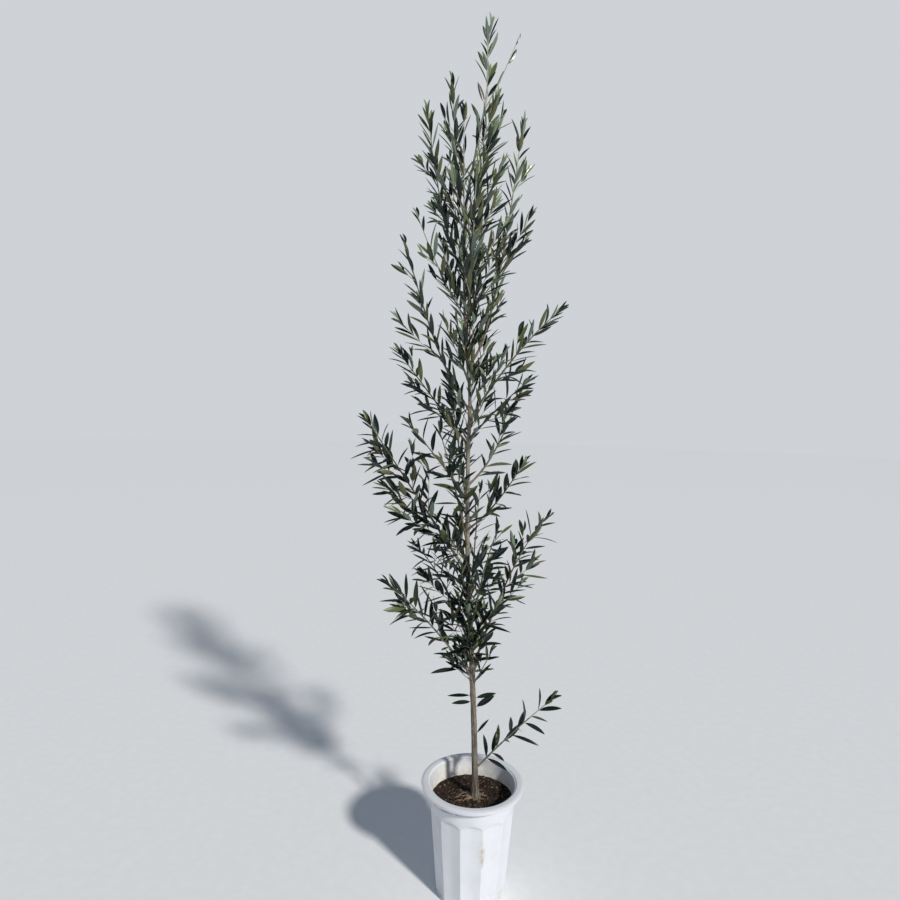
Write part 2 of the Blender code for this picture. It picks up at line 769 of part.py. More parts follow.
def build_mass(name, stem, radii, seat, mass, material):
    mass.grow(stem)
    rings = tube_rings(stem, radii, TWIG_SIDES)
    rings[0] = seat(rings[0])
    bm = bmesh.new()
    skin_rings(bm, rings)
    base = make_object("foliage_" + name, bm, material)
    pieces = [twig_solid(start, end, material) for start, end in mass.twigs]
    pieces += [leaf_solid(corners, material) for corners in mass.leaves]
    join_solids(base, pieces, material)
    faces = sum(len(face.vertices) - 2 for face in base.data.polygons)
    print(name, "has", len(mass.twigs), "twigs,", len(mass.leaves), "leaves,", faces, "faces")


def main():
    clear_scene()
    white = make_material("white_plastic", (0.80, 0.82, 0.86), 0.42)
    earth = make_material("dark_mix", (0.060, 0.036, 0.022), 0.95)
    bark = make_material("grey_bark", (0.27, 0.22, 0.16), 0.85)
    green = make_material("olive_leaf", (0.085, 0.115, 0.050), 0.55)

    build_pot(white)
    build_soil(earth)
    build_trunk(bark)

    heights = even_shares(TRUNK_FOOT, TRUNK_TOP, TRUNK_TEST_PIECES + 1)
    limb_lines = [([trunk_point(h) for h in heights], [trunk_radius(h) for h in heights], -1)]
    masses = []
    for name, row in BOUGHS.items():
        points, radii = build_bough(name, row, bark)
        limb_lines.append((points, radii, -1))
        masses.append((name, *bough_stem(row, points)))
    masses += [(name, *shoot_stem(row)) for name, row in SHOOTS.items()]
    masses.append(("crown_top", *crown_top_stem()))

    limbs = StraightPieces(limb_lines)
    stems = StraightPieces([(stem, radii, k) for k, (_, stem, radii, _) in enumerate(masses)])
    for owner, (name, stem, radii, seat) in enumerate(masses):
        build_mass(name, stem, radii, seat, Mass(owner, stems, limbs), green)


main()
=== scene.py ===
# %% [markdown]
# # A young olive tree in a white fluted pot
#
# The solids of this tree exist already, in real size: a pot, its filling, a trunk, twenty boughs
# and thirty-seven masses of foliage, each with a few large leaves. This notebook keeps those
# solids as the measure of every place and builds the visible tree round them: fine plastic, bark
# with relief, and about eighteen hundred leaves of life size.
#
# Lengths are metres, Z points up, and the front of the tree is its -Y side.

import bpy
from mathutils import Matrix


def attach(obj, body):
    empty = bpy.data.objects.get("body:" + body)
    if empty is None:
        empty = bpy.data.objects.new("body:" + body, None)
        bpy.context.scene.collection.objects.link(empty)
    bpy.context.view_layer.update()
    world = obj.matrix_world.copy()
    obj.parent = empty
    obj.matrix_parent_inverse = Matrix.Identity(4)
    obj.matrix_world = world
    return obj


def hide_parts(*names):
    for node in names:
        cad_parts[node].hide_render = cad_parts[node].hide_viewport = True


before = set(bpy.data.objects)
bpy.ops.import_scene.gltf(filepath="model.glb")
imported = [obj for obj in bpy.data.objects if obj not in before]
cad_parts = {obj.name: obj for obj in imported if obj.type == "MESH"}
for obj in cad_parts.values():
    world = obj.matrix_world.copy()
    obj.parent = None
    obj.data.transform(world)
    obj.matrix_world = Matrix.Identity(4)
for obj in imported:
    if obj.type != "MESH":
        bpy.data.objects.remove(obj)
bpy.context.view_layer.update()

# %% Modules and directions
import math
import random
from collections import namedtuple

import bpy
import numpy as np
from mathutils import Matrix, Vector, noise

UP = np.array([0.0, 0.0, 1.0])
FULL_TURN = 2.0 * math.pi


def evenly(count):
    """Evenly spaced shares from 0 to 1."""
    return np.linspace(0.0, 1.0, count)


print("Blender", bpy.app.version_string)

# %% [markdown]
# ## The camera
#
# A picture of a round rim is an ellipse, and how flat the ellipse is tells how high the camera
# stood over it. The rim and the foot of the pot together gave the place of this camera, its lens
# and a slight roll. It stands at chest height, 1.76 m in front of the pot, and looks a little
# down. The picture is 900 pixels square, so the lens follows from a focal length in pixels.

# %% Camera
PICTURE_SIDE = 900
FOCAL_PIXELS = 620
SENSOR_SIDE = 36
CAMERA_PLACE = (-0.0858, -1.7565, 1.3845)
CAMERA_DOWN = 3.19
CAMERA_ROLL = 1.2


def new_object(name, data):
    """An object for its data, put in the scene."""
    obj = bpy.data.objects.new(name, data)
    bpy.context.scene.collection.objects.link(obj)
    return obj


camera_data = bpy.data.cameras.new("camera")
camera_data.sensor_width = SENSOR_SIDE
camera_data.lens = SENSOR_SIDE * FOCAL_PIXELS / PICTURE_SIDE
camera = new_object("camera", camera_data)
level = Matrix.Rotation(math.radians(90.0 - CAMERA_DOWN), 4, "X")
roll = Matrix.Rotation(math.radians(CAMERA_ROLL), 4, "Z")
camera.matrix_world = Matrix.Translation(CAMERA_PLACE) @ level @ roll
bpy.context.scene.camera = camera
print("lens:", round(camera_data.lens, 1), "mm")

# %% [markdown]
# ## Nodes without clicking
#
# A material is a small graph. One helper adds a node, fills its sockets and links those whose
# value comes from another node, so that each finish further on reads like a recipe. The mix node
# has several sockets with the same name, one set a data type, so it gets a helper of its own
# that uses the numbers of the colour set.

# %% Node helpers
MIX_FACTOR, MIX_A, MIX_B, MIX_RESULT = 0, 6, 7, 2


def fill(tree, socket, value):
    """Link a socket that gets its value from a node, and set any other."""
    if isinstance(value, bpy.types.NodeSocket):
        tree.links.new(value, socket)
    elif socket.type == "RGBA" and len(value) == 3:
        socket.default_value = (*value, 1.0)
    else:
        socket.default_value = value


def add(tree, kind, inputs=None, **settings):
    """Add a node; inputs go by the socket's name or number."""
    node = tree.nodes.new("ShaderNode" + kind)
    for name, value in settings.items():
        setattr(node, name, value)
    for name, value in (inputs or {}).items():
        fill(tree, node.inputs[name], value)
    return node


def mix_colour(tree, share, first, second):
    inputs = {MIX_FACTOR: share, MIX_A: first, MIX_B: second}
    return add(tree, "Mix", inputs, data_type="RGBA").outputs[MIX_RESULT]


def calculate(tree, operation, first, second, kind="Math"):
    return add(tree, kind, {0: first, 1: second}, operation=operation).outputs[0]


def cut_to_mask(tree, value, low, high):
    limits = {"Value": value, "From Min": low, "From Max": high}
    return add(tree, "MapRange", limits).outputs["Result"]


print("helpers ready")

# %% [markdown]
# ## Light
#
# The tree was seen in clear light from the right, in front and above, with a cool sky that
# filled the shadows. A sun lamp with a wide disc does the first part: its rays are parallel, so
# the top of a tall tree gets as much light as its foot, and the wide disc softens the shadows. A
# pale blue world does the second part. Rays that go straight from the camera to the background
# get a paler tone, so that the backdrop stays a plain studio white.

# %% Lamp and world
SUN_FROM = Vector((0.62, -0.80, 0.73))
SUN_STRENGTH = 2.85
SUN_COLOUR = (1.0, 0.965, 0.91)
SUN_DISC = 5.0
SKY_COLOUR = (0.70, 0.83, 1.0)
SKY_STRENGTH = 0.24
BACKDROP_COLOUR = (0.622, 0.645, 0.674)

sun_data = bpy.data.lights.new("sun", "SUN")
sun_data.energy = SUN_STRENGTH
sun_data.color = SUN_COLOUR
sun_data.angle = math.radians(SUN_DISC)
sun = new_object("sun", sun_data)
sun.rotation_mode = "QUATERNION"
sun.rotation_quaternion = SUN_FROM.to_track_quat("Z", "Y")

world = bpy.data.worlds.new("studio")
world.use_nodes = True
sky = world.node_tree
sky.nodes.clear()
sky_light = add(sky, "Background", {"Color": SKY_COLOUR, "Strength": SKY_STRENGTH})
backdrop = add(sky, "Background", {"Color": BACKDROP_COLOUR})
to_camera = add(sky, "LightPath").outputs["Is Camera Ray"]
choose = add(sky, "MixShader", {0: to_camera, 1: sky_light.outputs[0], 2: backdrop.outputs[0]})
add(sky, "OutputWorld", {"Surface": choose.outputs[0]})
bpy.context.scene.world = world
bpy.context.scene.view_settings.view_transform = "Standard"
print("light comes from", [round(part, 2) for part in SUN_FROM.normalized()])

# %% [markdown]
# ## Effects that several finishes share
#
# Three effects come back in many finishes, so each is a node group with named sockets. "Speckle"
# is noise cut to a mask: where grime lies, where crumbs are pale. "Fibre streaks" stretches the
# noise along one axis, which is what bark and roots look like. "Soft patch" is a blurred spot at
# a place, for a stain that a real pot has picked up on one side, and also for a painted shadow
# that the pot's rim casts. Each group only puts out a mask, and the material decides which
# colours the mask mixes.

# %% Node groups


def new_group(name, *inputs):
    """A group that turns a place into a mask, with the further sockets that it is given."""
    group = bpy.data.node_groups.new(name, "ShaderNodeTree")
    for socket_name, kind, value in (("Vector", "Vector", (0, 0, 0)), *inputs):
        socket = group.interface.new_socket(
            name=socket_name, in_out="INPUT", socket_type="NodeSocket" + kind
        )
        socket.default_value = value
    group.interface.new_socket(name="Mask", in_out="OUTPUT", socket_type="NodeSocketFloat")
    given, result = group.nodes.new("NodeGroupInput"), group.nodes.new("NodeGroupOutput")
    return group, given.outputs, result.inputs["Mask"]


def noise_mask(group, place, scale, detail, low, high, **more):
    noise_inputs = {"Vector": place, "Scale": scale, "Detail": detail, **more}
    return cut_to_mask(group, add(group, "TexNoise", noise_inputs).outputs["Fac"], low, high)


speckle, given, result = new_group(
    "speckle", ("Scale", "Float", 50.0), ("Detail", "Float", 3.0), ("Low", "Float", 0.45),
    ("High", "Float", 0.65),
)
numbers = [given[name] for name in ("Scale", "Detail", "Low", "High")]
fill(speckle, result, noise_mask(speckle, given["Vector"], *numbers))

fibre_streaks, given, result = new_group(
    "fibre_streaks", ("Stretch", "Vector", (1, 1, 0.1)), ("Scale", "Float", 400.0),
    ("Low", "Float", 0.35), ("High", "Float", 0.7),
)
stretched = calculate(
    fibre_streaks, "MULTIPLY", given["Vector"], given["Stretch"], kind="VectorMath"
)
numbers = given["Scale"], 4.0, given["Low"], given["High"]
fill(fibre_streaks, result, noise_mask(fibre_streaks, stretched, *numbers, Roughness=0.62))

soft_patch, given, result = new_group(
    "soft_patch", ("Centre", "Vector", (0, 0, 0)), ("Size", "Vector", (0.01, 0.01, 0.01)),
    ("Break Up", "Float", 120.0),
)
place, centre, size = (given[name] for name in ("Vector", "Centre", "Size"))
offset = calculate(soft_patch, "SUBTRACT", place, centre, kind="VectorMath")
scaled = calculate(soft_patch, "DIVIDE", offset, size, kind="VectorMath")
far = add(soft_patch, "VectorMath", {0: scaled}, operation="LENGTH").outputs["Value"]
near = cut_to_mask(soft_patch, far, 1.0, 0.0)
broken = noise_mask(soft_patch, place, given["Break Up"], 3.0, 0.3, 0.62)
fill(soft_patch, result, calculate(soft_patch, "MULTIPLY", near, broken))
print("node groups:", [group.name for group in bpy.data.node_groups])

# %% [markdown]
# ## A finish in the making
#
# Every finish is made in the same steps: begin with one even colour and gloss, tint it where a
# mask says, make the gloss uneven, and end with a fine relief. A class that remembers the
# material's tree and the colour so far leaves one short line for each step. Masks read a place
# that belongs to the surface itself, so the pattern moves with the piece. On bark it is a place
# in a straightened limb instead, which the mesh carries along as an attribute.

# %% The steps of a finish


def shaded(tone, share):
    return tuple(share * part for part in tone)


class Finish:
    """A material with its nodes, whose flat values serve until nodes are linked to them."""

    def __init__(self, name, colour, roughness, follow=None):
        self.material = bpy.data.materials.new(name)
        self.material.use_nodes = True
        self.material.diffuse_color = (*colour, 1.0)
        self.tree = self.material.node_tree
        self.shader = self.tree.nodes["Principled BSDF"]
        self.colour = colour
        self.set("Base Color", colour)
        self.set("Roughness", roughness)
        self.place = self.carried(follow).outputs["Vector"] if follow else self.own_place()

    def set(self, socket, value):
        fill(self.tree, self.shader.inputs[socket], value)

    def own_place(self):
        return add(self.tree, "TexCoord").outputs["Object"]

    def carried(self, name):
        """A value that the mesh carries for each of its points."""
        return add(self.tree, "Attribute", attribute_name=name)

    def mask(self, group, **inputs):
        """A mask from a node group; an underscore stands for a space in a socket's name."""
        named = {name.replace("_", " "): value for name, value in inputs.items()}
        node = add(self.tree, "Group", {"Vector": self.place, **named}, node_tree=group)
        return node.outputs["Mask"]

    def speckles(self, scale, detail, low, high):
        return self.mask(speckle, Scale=scale, Detail=detail, Low=low, High=high)

    def fibres(self, stretch, scale, low, high):
        stretch = (1.0, 1.0, stretch)
        return self.mask(fibre_streaks, Stretch=stretch, Scale=scale, Low=low, High=high)

    def height_mask(self, low, high):
        """A mask by the height above the floor, from 0 at low to 1 at high."""
        height = add(self.tree, "SeparateXYZ", {0: self.own_place()}).outputs["Z"]
        return cut_to_mask(self.tree, height, low, high)

    def both(self, first, second, operation="MULTIPLY"):
        return calculate(self.tree, operation, first, second)

    def tint(self, mask, colour, strength=1.0):
        """Mix another colour into the colour so far."""
        self.colour = mix_colour(self.tree, self.both(mask, strength), self.colour, colour)
        self.set("Base Color", self.colour)

    def gloss(self, mask, low, high):
        limits = {"Value": mask, "To Min": low, "To Max": high}
        self.set("Roughness", add(self.tree, "MapRange", limits).outputs["Result"])

    def relief(self, heights, depth, strength):
        """Bumps from a height between 0 and 1, with the depth in metres."""
        inputs = {"Strength": strength, "Distance": depth, "Height": heights}
        self.set("Normal", add(self.tree, "Bump", inputs).outputs["Normal"])

    def grain(self, scale, detail, depth, strength):
        inputs = {"Vector": self.place, "Scale": scale, "Detail": detail}
        self.relief(add(self.tree, "TexNoise", inputs).outputs["Fac"], depth, strength)


print("ready to mix finishes")

# %% [markdown]
# ## From arrays to a mesh
#
# Nearly everything on this tree is a row of closed rings with a skin between them: the pot, the
# trunk, a twig, even a leaf, whose ring is a flat lens. So one class collects rings, numbers the
# corners and keeps a material for each face. Hundreds of leaves then become one mesh in a
# moment, where as many separate objects would take minutes and copies would be lost on the way
# out of Blender.

# %% Collecting closed bodies into one mesh


def turns_of(count):
    """The turns of the corners of a ring, in radians."""
    return FULL_TURN * np.arange(count) / count


def ring_faces(rows, columns):
    """Corner numbers of the quads between successive rings, outward for rings turning left."""
    row = np.arange(rows - 1)[:, None] * columns
    here = np.arange(columns)[None, :]
    ahead = (here + 1) % columns
    quads = np.stack([row + here, row + ahead, row + columns + ahead, row + columns + here], -1)
    return quads.reshape(-1, 4)


class Bundle:
    """Closed bodies on their way to one mesh, with a material for each face.

    Each point has an age and a place in a straightened limb, which only bark makes use of.
    """

    def __init__(self):
        self.points, self.faces, self.slots, self.ages, self.places = [], [], [], [], []
        self.count = 0

    def add(self, points, faces, slots=0, ages=0.0, places=None):
        points = np.asarray(points, float).reshape(-1, 3)
        self.points.append(points)
        self.faces.extend((np.asarray(face) + self.count).tolist() for face in faces)
        self.slots.append(np.broadcast_to(slots, len(faces)))
        self.ages.append(np.broadcast_to(ages, len(points)))
        self.places.append(points if places is None else np.asarray(places).reshape(-1, 3))
        self.count += len(points)

    def add_rings(self, rings, slots=0, ages=0.0, places=None):
        rows, columns = rings.shape[:2]
        quads = list(ring_faces(rows, columns))
        ends = [np.arange(columns)[::-1], np.arange(columns) + (rows - 1) * columns]
        if np.ndim(slots):
            slots = np.concatenate([np.repeat(slots, columns), [slots[0], slots[-1]]])
        if np.ndim(ages):
            ages = np.repeat(ages, columns)
        self.add(rings, quads + ends, slots, ages, places)

    def to_piece(self, name, finishes, smooth_angle, slot, nodes):
        """Make the mesh, fix it to the tree, and hide the solids that it stands for."""
        mesh = bpy.data.meshes.new(name)
        mesh.from_pydata(np.concatenate(self.points).tolist(), [], self.faces)
        for finish in finishes:
            mesh.materials.append(finish.material)
        mesh.polygons.foreach_set("material_index", np.concatenate(self.slots).astype(np.int32))
        ages = np.concatenate(self.ages).astype(np.float32)
        places = np.concatenate(self.places).astype(np.float32).ravel()
        mesh.attributes.new("age", "FLOAT", "POINT").data.foreach_set("value", ages)
        carried = mesh.attributes.new("bark_place", "FLOAT_VECTOR", "POINT")
        carried.data.foreach_set("vector", places)
        mesh.update()
        mesh.shade_smooth()
        mesh.set_sharp_from_angle(angle=math.radians(smooth_angle))
        piece = new_object(name, mesh)
        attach(piece, "root")
        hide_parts(*nodes)
        mesh.calc_loop_triangles()
        print(name, "has", len(mesh.loop_triangles), "triangles")


print("bundles ready")

# %% [markdown]
# ## The floor
#
# A plain pale disc, wide enough to fill the view from every side. It belongs to the stage and
# not to the tree. Its finish is a fine speckle, so that it reads as a painted studio floor.

# %% Floor
FLOOR_RADIUS = 30.0
FLOOR_DROP = 0.0002
FLOOR_COLOUR = (0.92, 0.93, 0.95)
FLOOR_SHADE = 0.97
FLOOR_CORNERS = 64

floor_paint = Finish("floor_paint", FLOOR_COLOUR, 0.9)
dust = floor_paint.speckles(30.0, 3.0, 0.35, 0.7)
floor_paint.tint(dust, shaded(FLOOR_COLOUR, FLOOR_SHADE))
floor_mesh = bpy.data.meshes.new("floor")
corners = [
    (FLOOR_RADIUS * math.cos(turn), FLOOR_RADIUS * math.sin(turn), -FLOOR_DROP)
    for turn in turns_of(FLOOR_CORNERS)
]
floor_mesh.from_pydata(corners, [], [list(range(FLOOR_CORNERS))])
floor_mesh.materials.append(floor_paint.material)
floor = new_object("floor", floor_mesh)
print("floor radius", FLOOR_RADIUS)

# %% [markdown]
# ## The pot
#
# A moulded tub of white plastic. Twelve shallow flutes run up it and end in round arches under a
# plain band, and the rim is a broad flange with a lip turned down. A lathe can't make flutes, so
# the wall is a grid: each column of the grid is a profile from the foot over the rim down to the
# inner floor, and the profile knows how far across its flute it stands. The rows of the flute
# follow the arch, so the edge of the arch is crisp without a very fine mesh.

# %% Sizes of the pot
POT_HEIGHT = 0.321
POT_FOOT_RADIUS = 0.101
POT_SHOULDER_RADIUS = 0.1275
POT_WALL = 0.0035
POT_FLOOR = 0.004
RIM_RADIUS = 0.150
RIM_HEIGHT = 0.012
RIM_UNDERSIDE = 0.0035
RIM_MOUTH_RADIUS = 0.128
MOUTH_SLOPE = 0.12
FLUTE_COUNT = 12
FLUTE_TURN = -2.2
FLUTE_DEPTH = 0.0055
FLUTE_BASE = 0.010
FLUTE_ROUNDNESS = 1.8
BAND_SWELL = 0.0005
ARCH_SPRING = 0.244
ARCH_RISE = 0.018
ARCH_LEDGE = 0.004


def pot_outer_radius(height):
    share = np.clip(height / (POT_HEIGHT - RIM_HEIGHT), 0.0, 1.0)
    return POT_FOOT_RADIUS + (POT_SHOULDER_RADIUS - POT_FOOT_RADIUS) * share


def pot_inner_radius(height):
    """The bore: clear of the flutes below the arches, and opening to the mouth above them."""
    below = pot_outer_radius(height) - FLUTE_DEPTH - POT_WALL
    mouth = RIM_MOUTH_RADIUS - (POT_HEIGHT - height) * MOUTH_SLOPE
    above = min(mouth, pot_outer_radius(height) - POT_WALL)
    share = min(max((height - ARCH_SPRING) / (ARCH_RISE + ARCH_LEDGE), 0.0), 1.0)
    return below + (above - below) * share


def ease(share):
    """A share from 0 to 1 that starts and ends gently."""
    return share * share * (3.0 - 2.0 * share)


def pot_ring(turns, radius, height):
    """Places round the pot, at turns to the right from its front."""
    return np.stack([radius * np.sin(turns), -radius * np.cos(turns), height + 0.0 * turns], -1)


print("pot is", POT_HEIGHT, "m tall and", 2 * RIM_RADIUS, "m across its rim")

# %% The profile of one column
# Rows of the foot, flute, arch and band, and the share of its base where a flute starts
FOOT_ROWS, FLUTE_ROWS, ARCH_ROWS, BAND_ROWS = 6, 26, 8, 9
FLUTE_START = 0.35
# Steps of the foot, as (inward from the foot's radius, height)
FOOT_STEPS = ((0.004, 0.0), (0.0015, 0.0005), (0.0003, 0.0016))
# Steps of the rim, as (inward from its widest circle, down from its top): under the flange,
# round the lip, over the top and into the mouth
RIM_STEPS = (
    (0.0100, RIM_UNDERSIDE), (0.0072, 0.0037), (0.0065, 0.0050), (0.0064, 0.0085),
    (0.0063, 0.0116), (0.0056, RIM_HEIGHT), (0.0038, RIM_HEIGHT), (0.0031, 0.0117),
    (0.0027, 0.0108), (0.0018, 0.0070), (0.0009, 0.0036), (0.0006, 0.0026), (0.0010, 0.0016),
    (0.0022, 0.0011), (0.0050, 0.0009), (0.0058, 0.0003), (0.0068, 0.0), (0.0110, 0.0),
    (0.0160, 0.0), (0.0200, 0.0001), (0.0211, 0.0004), (0.0218, 0.0011), (0.0223, 0.0022),
)


def flute_rows(across):
    """(radius, height) rows from the foot to the underside of the rim."""
    arch = ARCH_SPRING + ARCH_RISE * np.sqrt(np.maximum(0.0, 1.0 - across**2))
    sink = FLUTE_DEPTH * (1.0 - np.abs(across) ** FLUTE_ROUNDNESS)
    rows = [(POT_FOOT_RADIUS - inward, height) for inward, height in FOOT_STEPS]
    for share in evenly(FOOT_ROWS):
        height = FLUTE_BASE * (FLUTE_START + (1.0 - FLUTE_START) * share)
        rows.append((pot_outer_radius(height) - sink * ease(share), height))
    for share in evenly(FLUTE_ROWS)[1:]:
        height = FLUTE_BASE + (arch - ARCH_LEDGE - FLUTE_BASE) * share
        rows.append((pot_outer_radius(height) - sink, height))
    for share in evenly(ARCH_ROWS)[1:]:
        height = arch - ARCH_LEDGE * (1.0 - share)
        rows.append((pot_outer_radius(height) - sink * (1.0 - ease(share)), height))
    for share in evenly(BAND_ROWS)[1:]:
        height = arch + (POT_HEIGHT - RIM_UNDERSIDE - arch) * share
        rows.append((pot_outer_radius(height) + BAND_SWELL * share, height))
    return rows


print("rim has", len(RIM_STEPS), "steps")

# %% The mesh of the pot
COLUMNS_PER_FLUTE = 30
INNER_ROWS = 26
INNER_TOP = 0.004
# The wall is pushed in and out a little, so that plastic isn't as true as a drawing
EVEN_FOOT_ROWS = 6
UNEVEN_SCALE = 14.0
UNEVEN_DEPTH = 0.0005

columns = FLUTE_COUNT * COLUMNS_PER_FLUTE
across = 2.0 * (np.arange(columns) % COLUMNS_PER_FLUTE) / COLUMNS_PER_FLUTE - 1.0
turns = turns_of(columns) + FULL_TURN * 0.5 / FLUTE_COUNT + math.radians(FLUTE_TURN)
rows = flute_rows(across)
rows += [(RIM_RADIUS - inward, POT_HEIGHT - down) for inward, down in RIM_STEPS]
over_rim = len(rows)
inner_heights = np.linspace(POT_HEIGHT - INNER_TOP, POT_FLOOR, INNER_ROWS)
rows += [(pot_inner_radius(height), height) for height in inner_heights]
rings = np.stack([pot_ring(turns, radius, height) for radius, height in rows])
for row in rings[EVEN_FOOT_ROWS:over_rim]:
    for point in row:
        push = UNEVEN_DEPTH * noise.noise(Vector(point) * UNEVEN_SCALE)
        point[:2] *= 1.0 + push / math.hypot(point[0], point[1])
pot_bundle = Bundle()
pot_bundle.add_rings(rings, slots=np.where(np.arange(len(rings) - 1) >= over_rim - 1, 1, 0))
print("pot rings:", rings.shape[:2])

# %% [markdown]
# ## White plastic after some seasons outdoors
#
# New plastic is one even colour. This pot has stood outside: it has a chalky bloom, a little
# soil splashed up from below, a yellow-brown run on one ridge and a few faint marks. Each is a
# mask that mixes the clean colour with a dirtier one. A thin dark line under the rim's lip on
# the left is a painted shadow of the lip, mixed in the same way. The inside is creamier,
# because wet mix has stained it, so it has a finish of its own. The sheen is dull and a little
# uneven, and a fine relief keeps the reflections from looking like glass.

# %% Finishes of the pot
CLEAN_PLASTIC = (0.780, 0.805, 0.860)
CHALKY_PLASTIC = (0.690, 0.705, 0.735)
SPLASHED_SOIL = (0.430, 0.380, 0.290)
YELLOW_RUN = (0.430, 0.340, 0.190)
BEIGE_RUN = (0.600, 0.555, 0.420)
FAINT_MARK = (0.640, 0.560, 0.560)
CREAM_PLASTIC = (0.890, 0.880, 0.840)
STAINED_CREAM = (0.600, 0.530, 0.400)
# A painted shadow: the dark line that the rim's lip casts on the band below it on the left
PAINTED_LIP_SHADOW = (0.060, 0.062, 0.075)
SPLASH_HEIGHT = 0.075
DAMP_HEIGHTS = (0.300, 0.266)
PATCH_BREAK_UP = 95.0
# Each stain, or patch of painted shadow: degrees to the right of the front, height, size
# (across, deep, tall), colour, strength
STAINS_AND_LIP_SHADOW = (
    (12.4, 0.178, (0.0170, 0.02, 0.050), BEIGE_RUN, 0.80),
    (13.4, 0.168, (0.0055, 0.02, 0.046), YELLOW_RUN, 0.95),
    (12.0, 0.212, (0.0070, 0.02, 0.014), BEIGE_RUN, 0.50),
    # These four patches are a painted shadow under the rim's lip on the left, not a stain
    (-22.0, 0.2928, (0.0200, 0.03, 0.0030), PAINTED_LIP_SHADOW, 1.0),
    (-34.0, 0.2908, (0.0220, 0.03, 0.0044), PAINTED_LIP_SHADOW, 1.0),
    (-46.0, 0.2882, (0.0220, 0.03, 0.0044), PAINTED_LIP_SHADOW, 1.0),
    (-58.0, 0.2838, (0.0180, 0.03, 0.0036), PAINTED_LIP_SHADOW, 0.9),
    (33.0, 0.165, (0.0130, 0.03, 0.022), FAINT_MARK, 0.35),
    (27.0, 0.120, (0.0110, 0.03, 0.010), FAINT_MARK, 0.30),
    (58.0, 0.016, (0.0180, 0.03, 0.014), YELLOW_RUN, 0.50),
    (-62.0, 0.030, (0.0200, 0.03, 0.020), SPLASHED_SOIL, 0.35),
    (140.0, 0.110, (0.0060, 0.03, 0.045), YELLOW_RUN, 0.40),
    (205.0, 0.060, (0.0250, 0.04, 0.030), SPLASHED_SOIL, 0.40),
)

white_plastic = Finish("white_plastic", CLEAN_PLASTIC, 0.42)
bloom = white_plastic.speckles(16.0, 5.0, 0.42, 0.72)
white_plastic.tint(bloom, CHALKY_PLASTIC, 0.55)
low_down = white_plastic.height_mask(SPLASH_HEIGHT, 0.0)
specks = white_plastic.speckles(150.0, 4.0, 0.50, 0.66)
white_plastic.tint(white_plastic.both(low_down, specks), SPLASHED_SOIL, 0.30)
white_plastic.tint(white_plastic.speckles(310.0, 1.0, 0.705, 0.74), SPLASHED_SOIL, 0.20)
# Stains, and in the same loop the painted shadow under the rim's lip
for degrees, height, size, colour, strength in STAINS_AND_LIP_SHADOW:
    centre = pot_ring(math.radians(degrees), float(pot_outer_radius(height)), height)
    stain_or_shadow = white_plastic.mask(soft_patch, Centre=centre, Size=size, Break_Up=PATCH_BREAK_UP)
    white_plastic.tint(stain_or_shadow, colour, strength)
white_plastic.gloss(bloom, 0.36, 0.58)
white_plastic.grain(620.0, 2.0, 0.00012, 0.5)

cream_lining = Finish("cream_lining", CREAM_PLASTIC, 0.50)
cream_lining.tint(cream_lining.speckles(38.0, 6.0, 0.38, 0.62), CLEAN_PLASTIC)
damp = cream_lining.height_mask(*DAMP_HEIGHTS)
damp_spots = cream_lining.speckles(90.0, 5.0, 0.40, 0.60)
cream_lining.tint(cream_lining.both(damp, damp_spots), STAINED_CREAM, 0.55)
cream_lining.grain(500.0, 3.0, 0.00015, 0.5)

pot_bundle.to_piece("fluted_pot", [white_plastic, cream_lining], 35.0, "white_plastic", ["pot"])

# %% [markdown]
# ## Potting mix
#
# The pot is filled with a dark mix of bark and peat, strewn with lighter chips and a few pale
# crumbs. The body of it is a disc whose surface rolls and is rough, pushed up and down by noise
# at three sizes. The chips are loose pieces, so they are real geometry: small boxes and lumps
# with knocked corners, half sunk and turned at random, all joined into one mesh.

# %% The surface of the mix
SOIL_LEVEL = 0.268
SOIL_CROWN = 0.004
CROWN_REACH = 0.115
GAP = 0.0003
SOIL_RINGS = 70
SOIL_COLUMNS = 200
SOIL_SLICE = 0.37
# The smallest ring, as a share of the widest
SOIL_MIDDLE = 0.02
# Heights of the rings that follow the pot's wall, under the surface
SOIL_SIDES = (POT_FLOOR + GAP, 0.12, ARCH_SPRING, SOIL_LEVEL - 0.006)
# Scale and depth of the rolls, the clods and the crumbs
SOIL_ROUGHNESS = ((22.0, 0.0030), (75.0, 0.0022), (240.0, 0.0012))


def soil_height(x, y):
    """Height of the mix at a place: a low crown round the trunk, with clods and crumbs."""
    share = min(max(1.0 - math.hypot(x, y) / CROWN_REACH, 0.0), 1.0)
    height = SOIL_LEVEL + SOIL_CROWN * ease(share)
    for scale, depth in SOIL_ROUGHNESS:
        height += depth * noise.noise(Vector((x, y, SOIL_SLICE)) * scale)
    return height


turns = turns_of(SOIL_COLUMNS)
rings = [pot_ring(turns, pot_inner_radius(h) - 2.0 * GAP, h) for h in SOIL_SIDES]
for share in np.linspace(1.0, SOIL_MIDDLE, SOIL_RINGS):
    ring = pot_ring(turns, (pot_inner_radius(SOIL_LEVEL) - 2.0 * GAP) * share, 0.0)
    ring[:, 2] = [soil_height(x, y) for x, y, _ in ring]
    rings.append(ring)
soil_bundle = Bundle()
soil_bundle.add_rings(np.stack(rings))
print("surface of the mix:", SOIL_RINGS, "rings")

# %% Chips and crumbs
CHIP_COUNT = 1500
CRUMB_COUNT = 900
# Chips stay off the pot's wall, and off a small circle at the foot of the trunk
CHIP_MARGIN = 0.007
TRUNK_OFFSET = 0.009
TRUNK_CLEAR = 0.017
DENTS = (0.72, 1.1)
SUNK = (-0.2, 0.55)
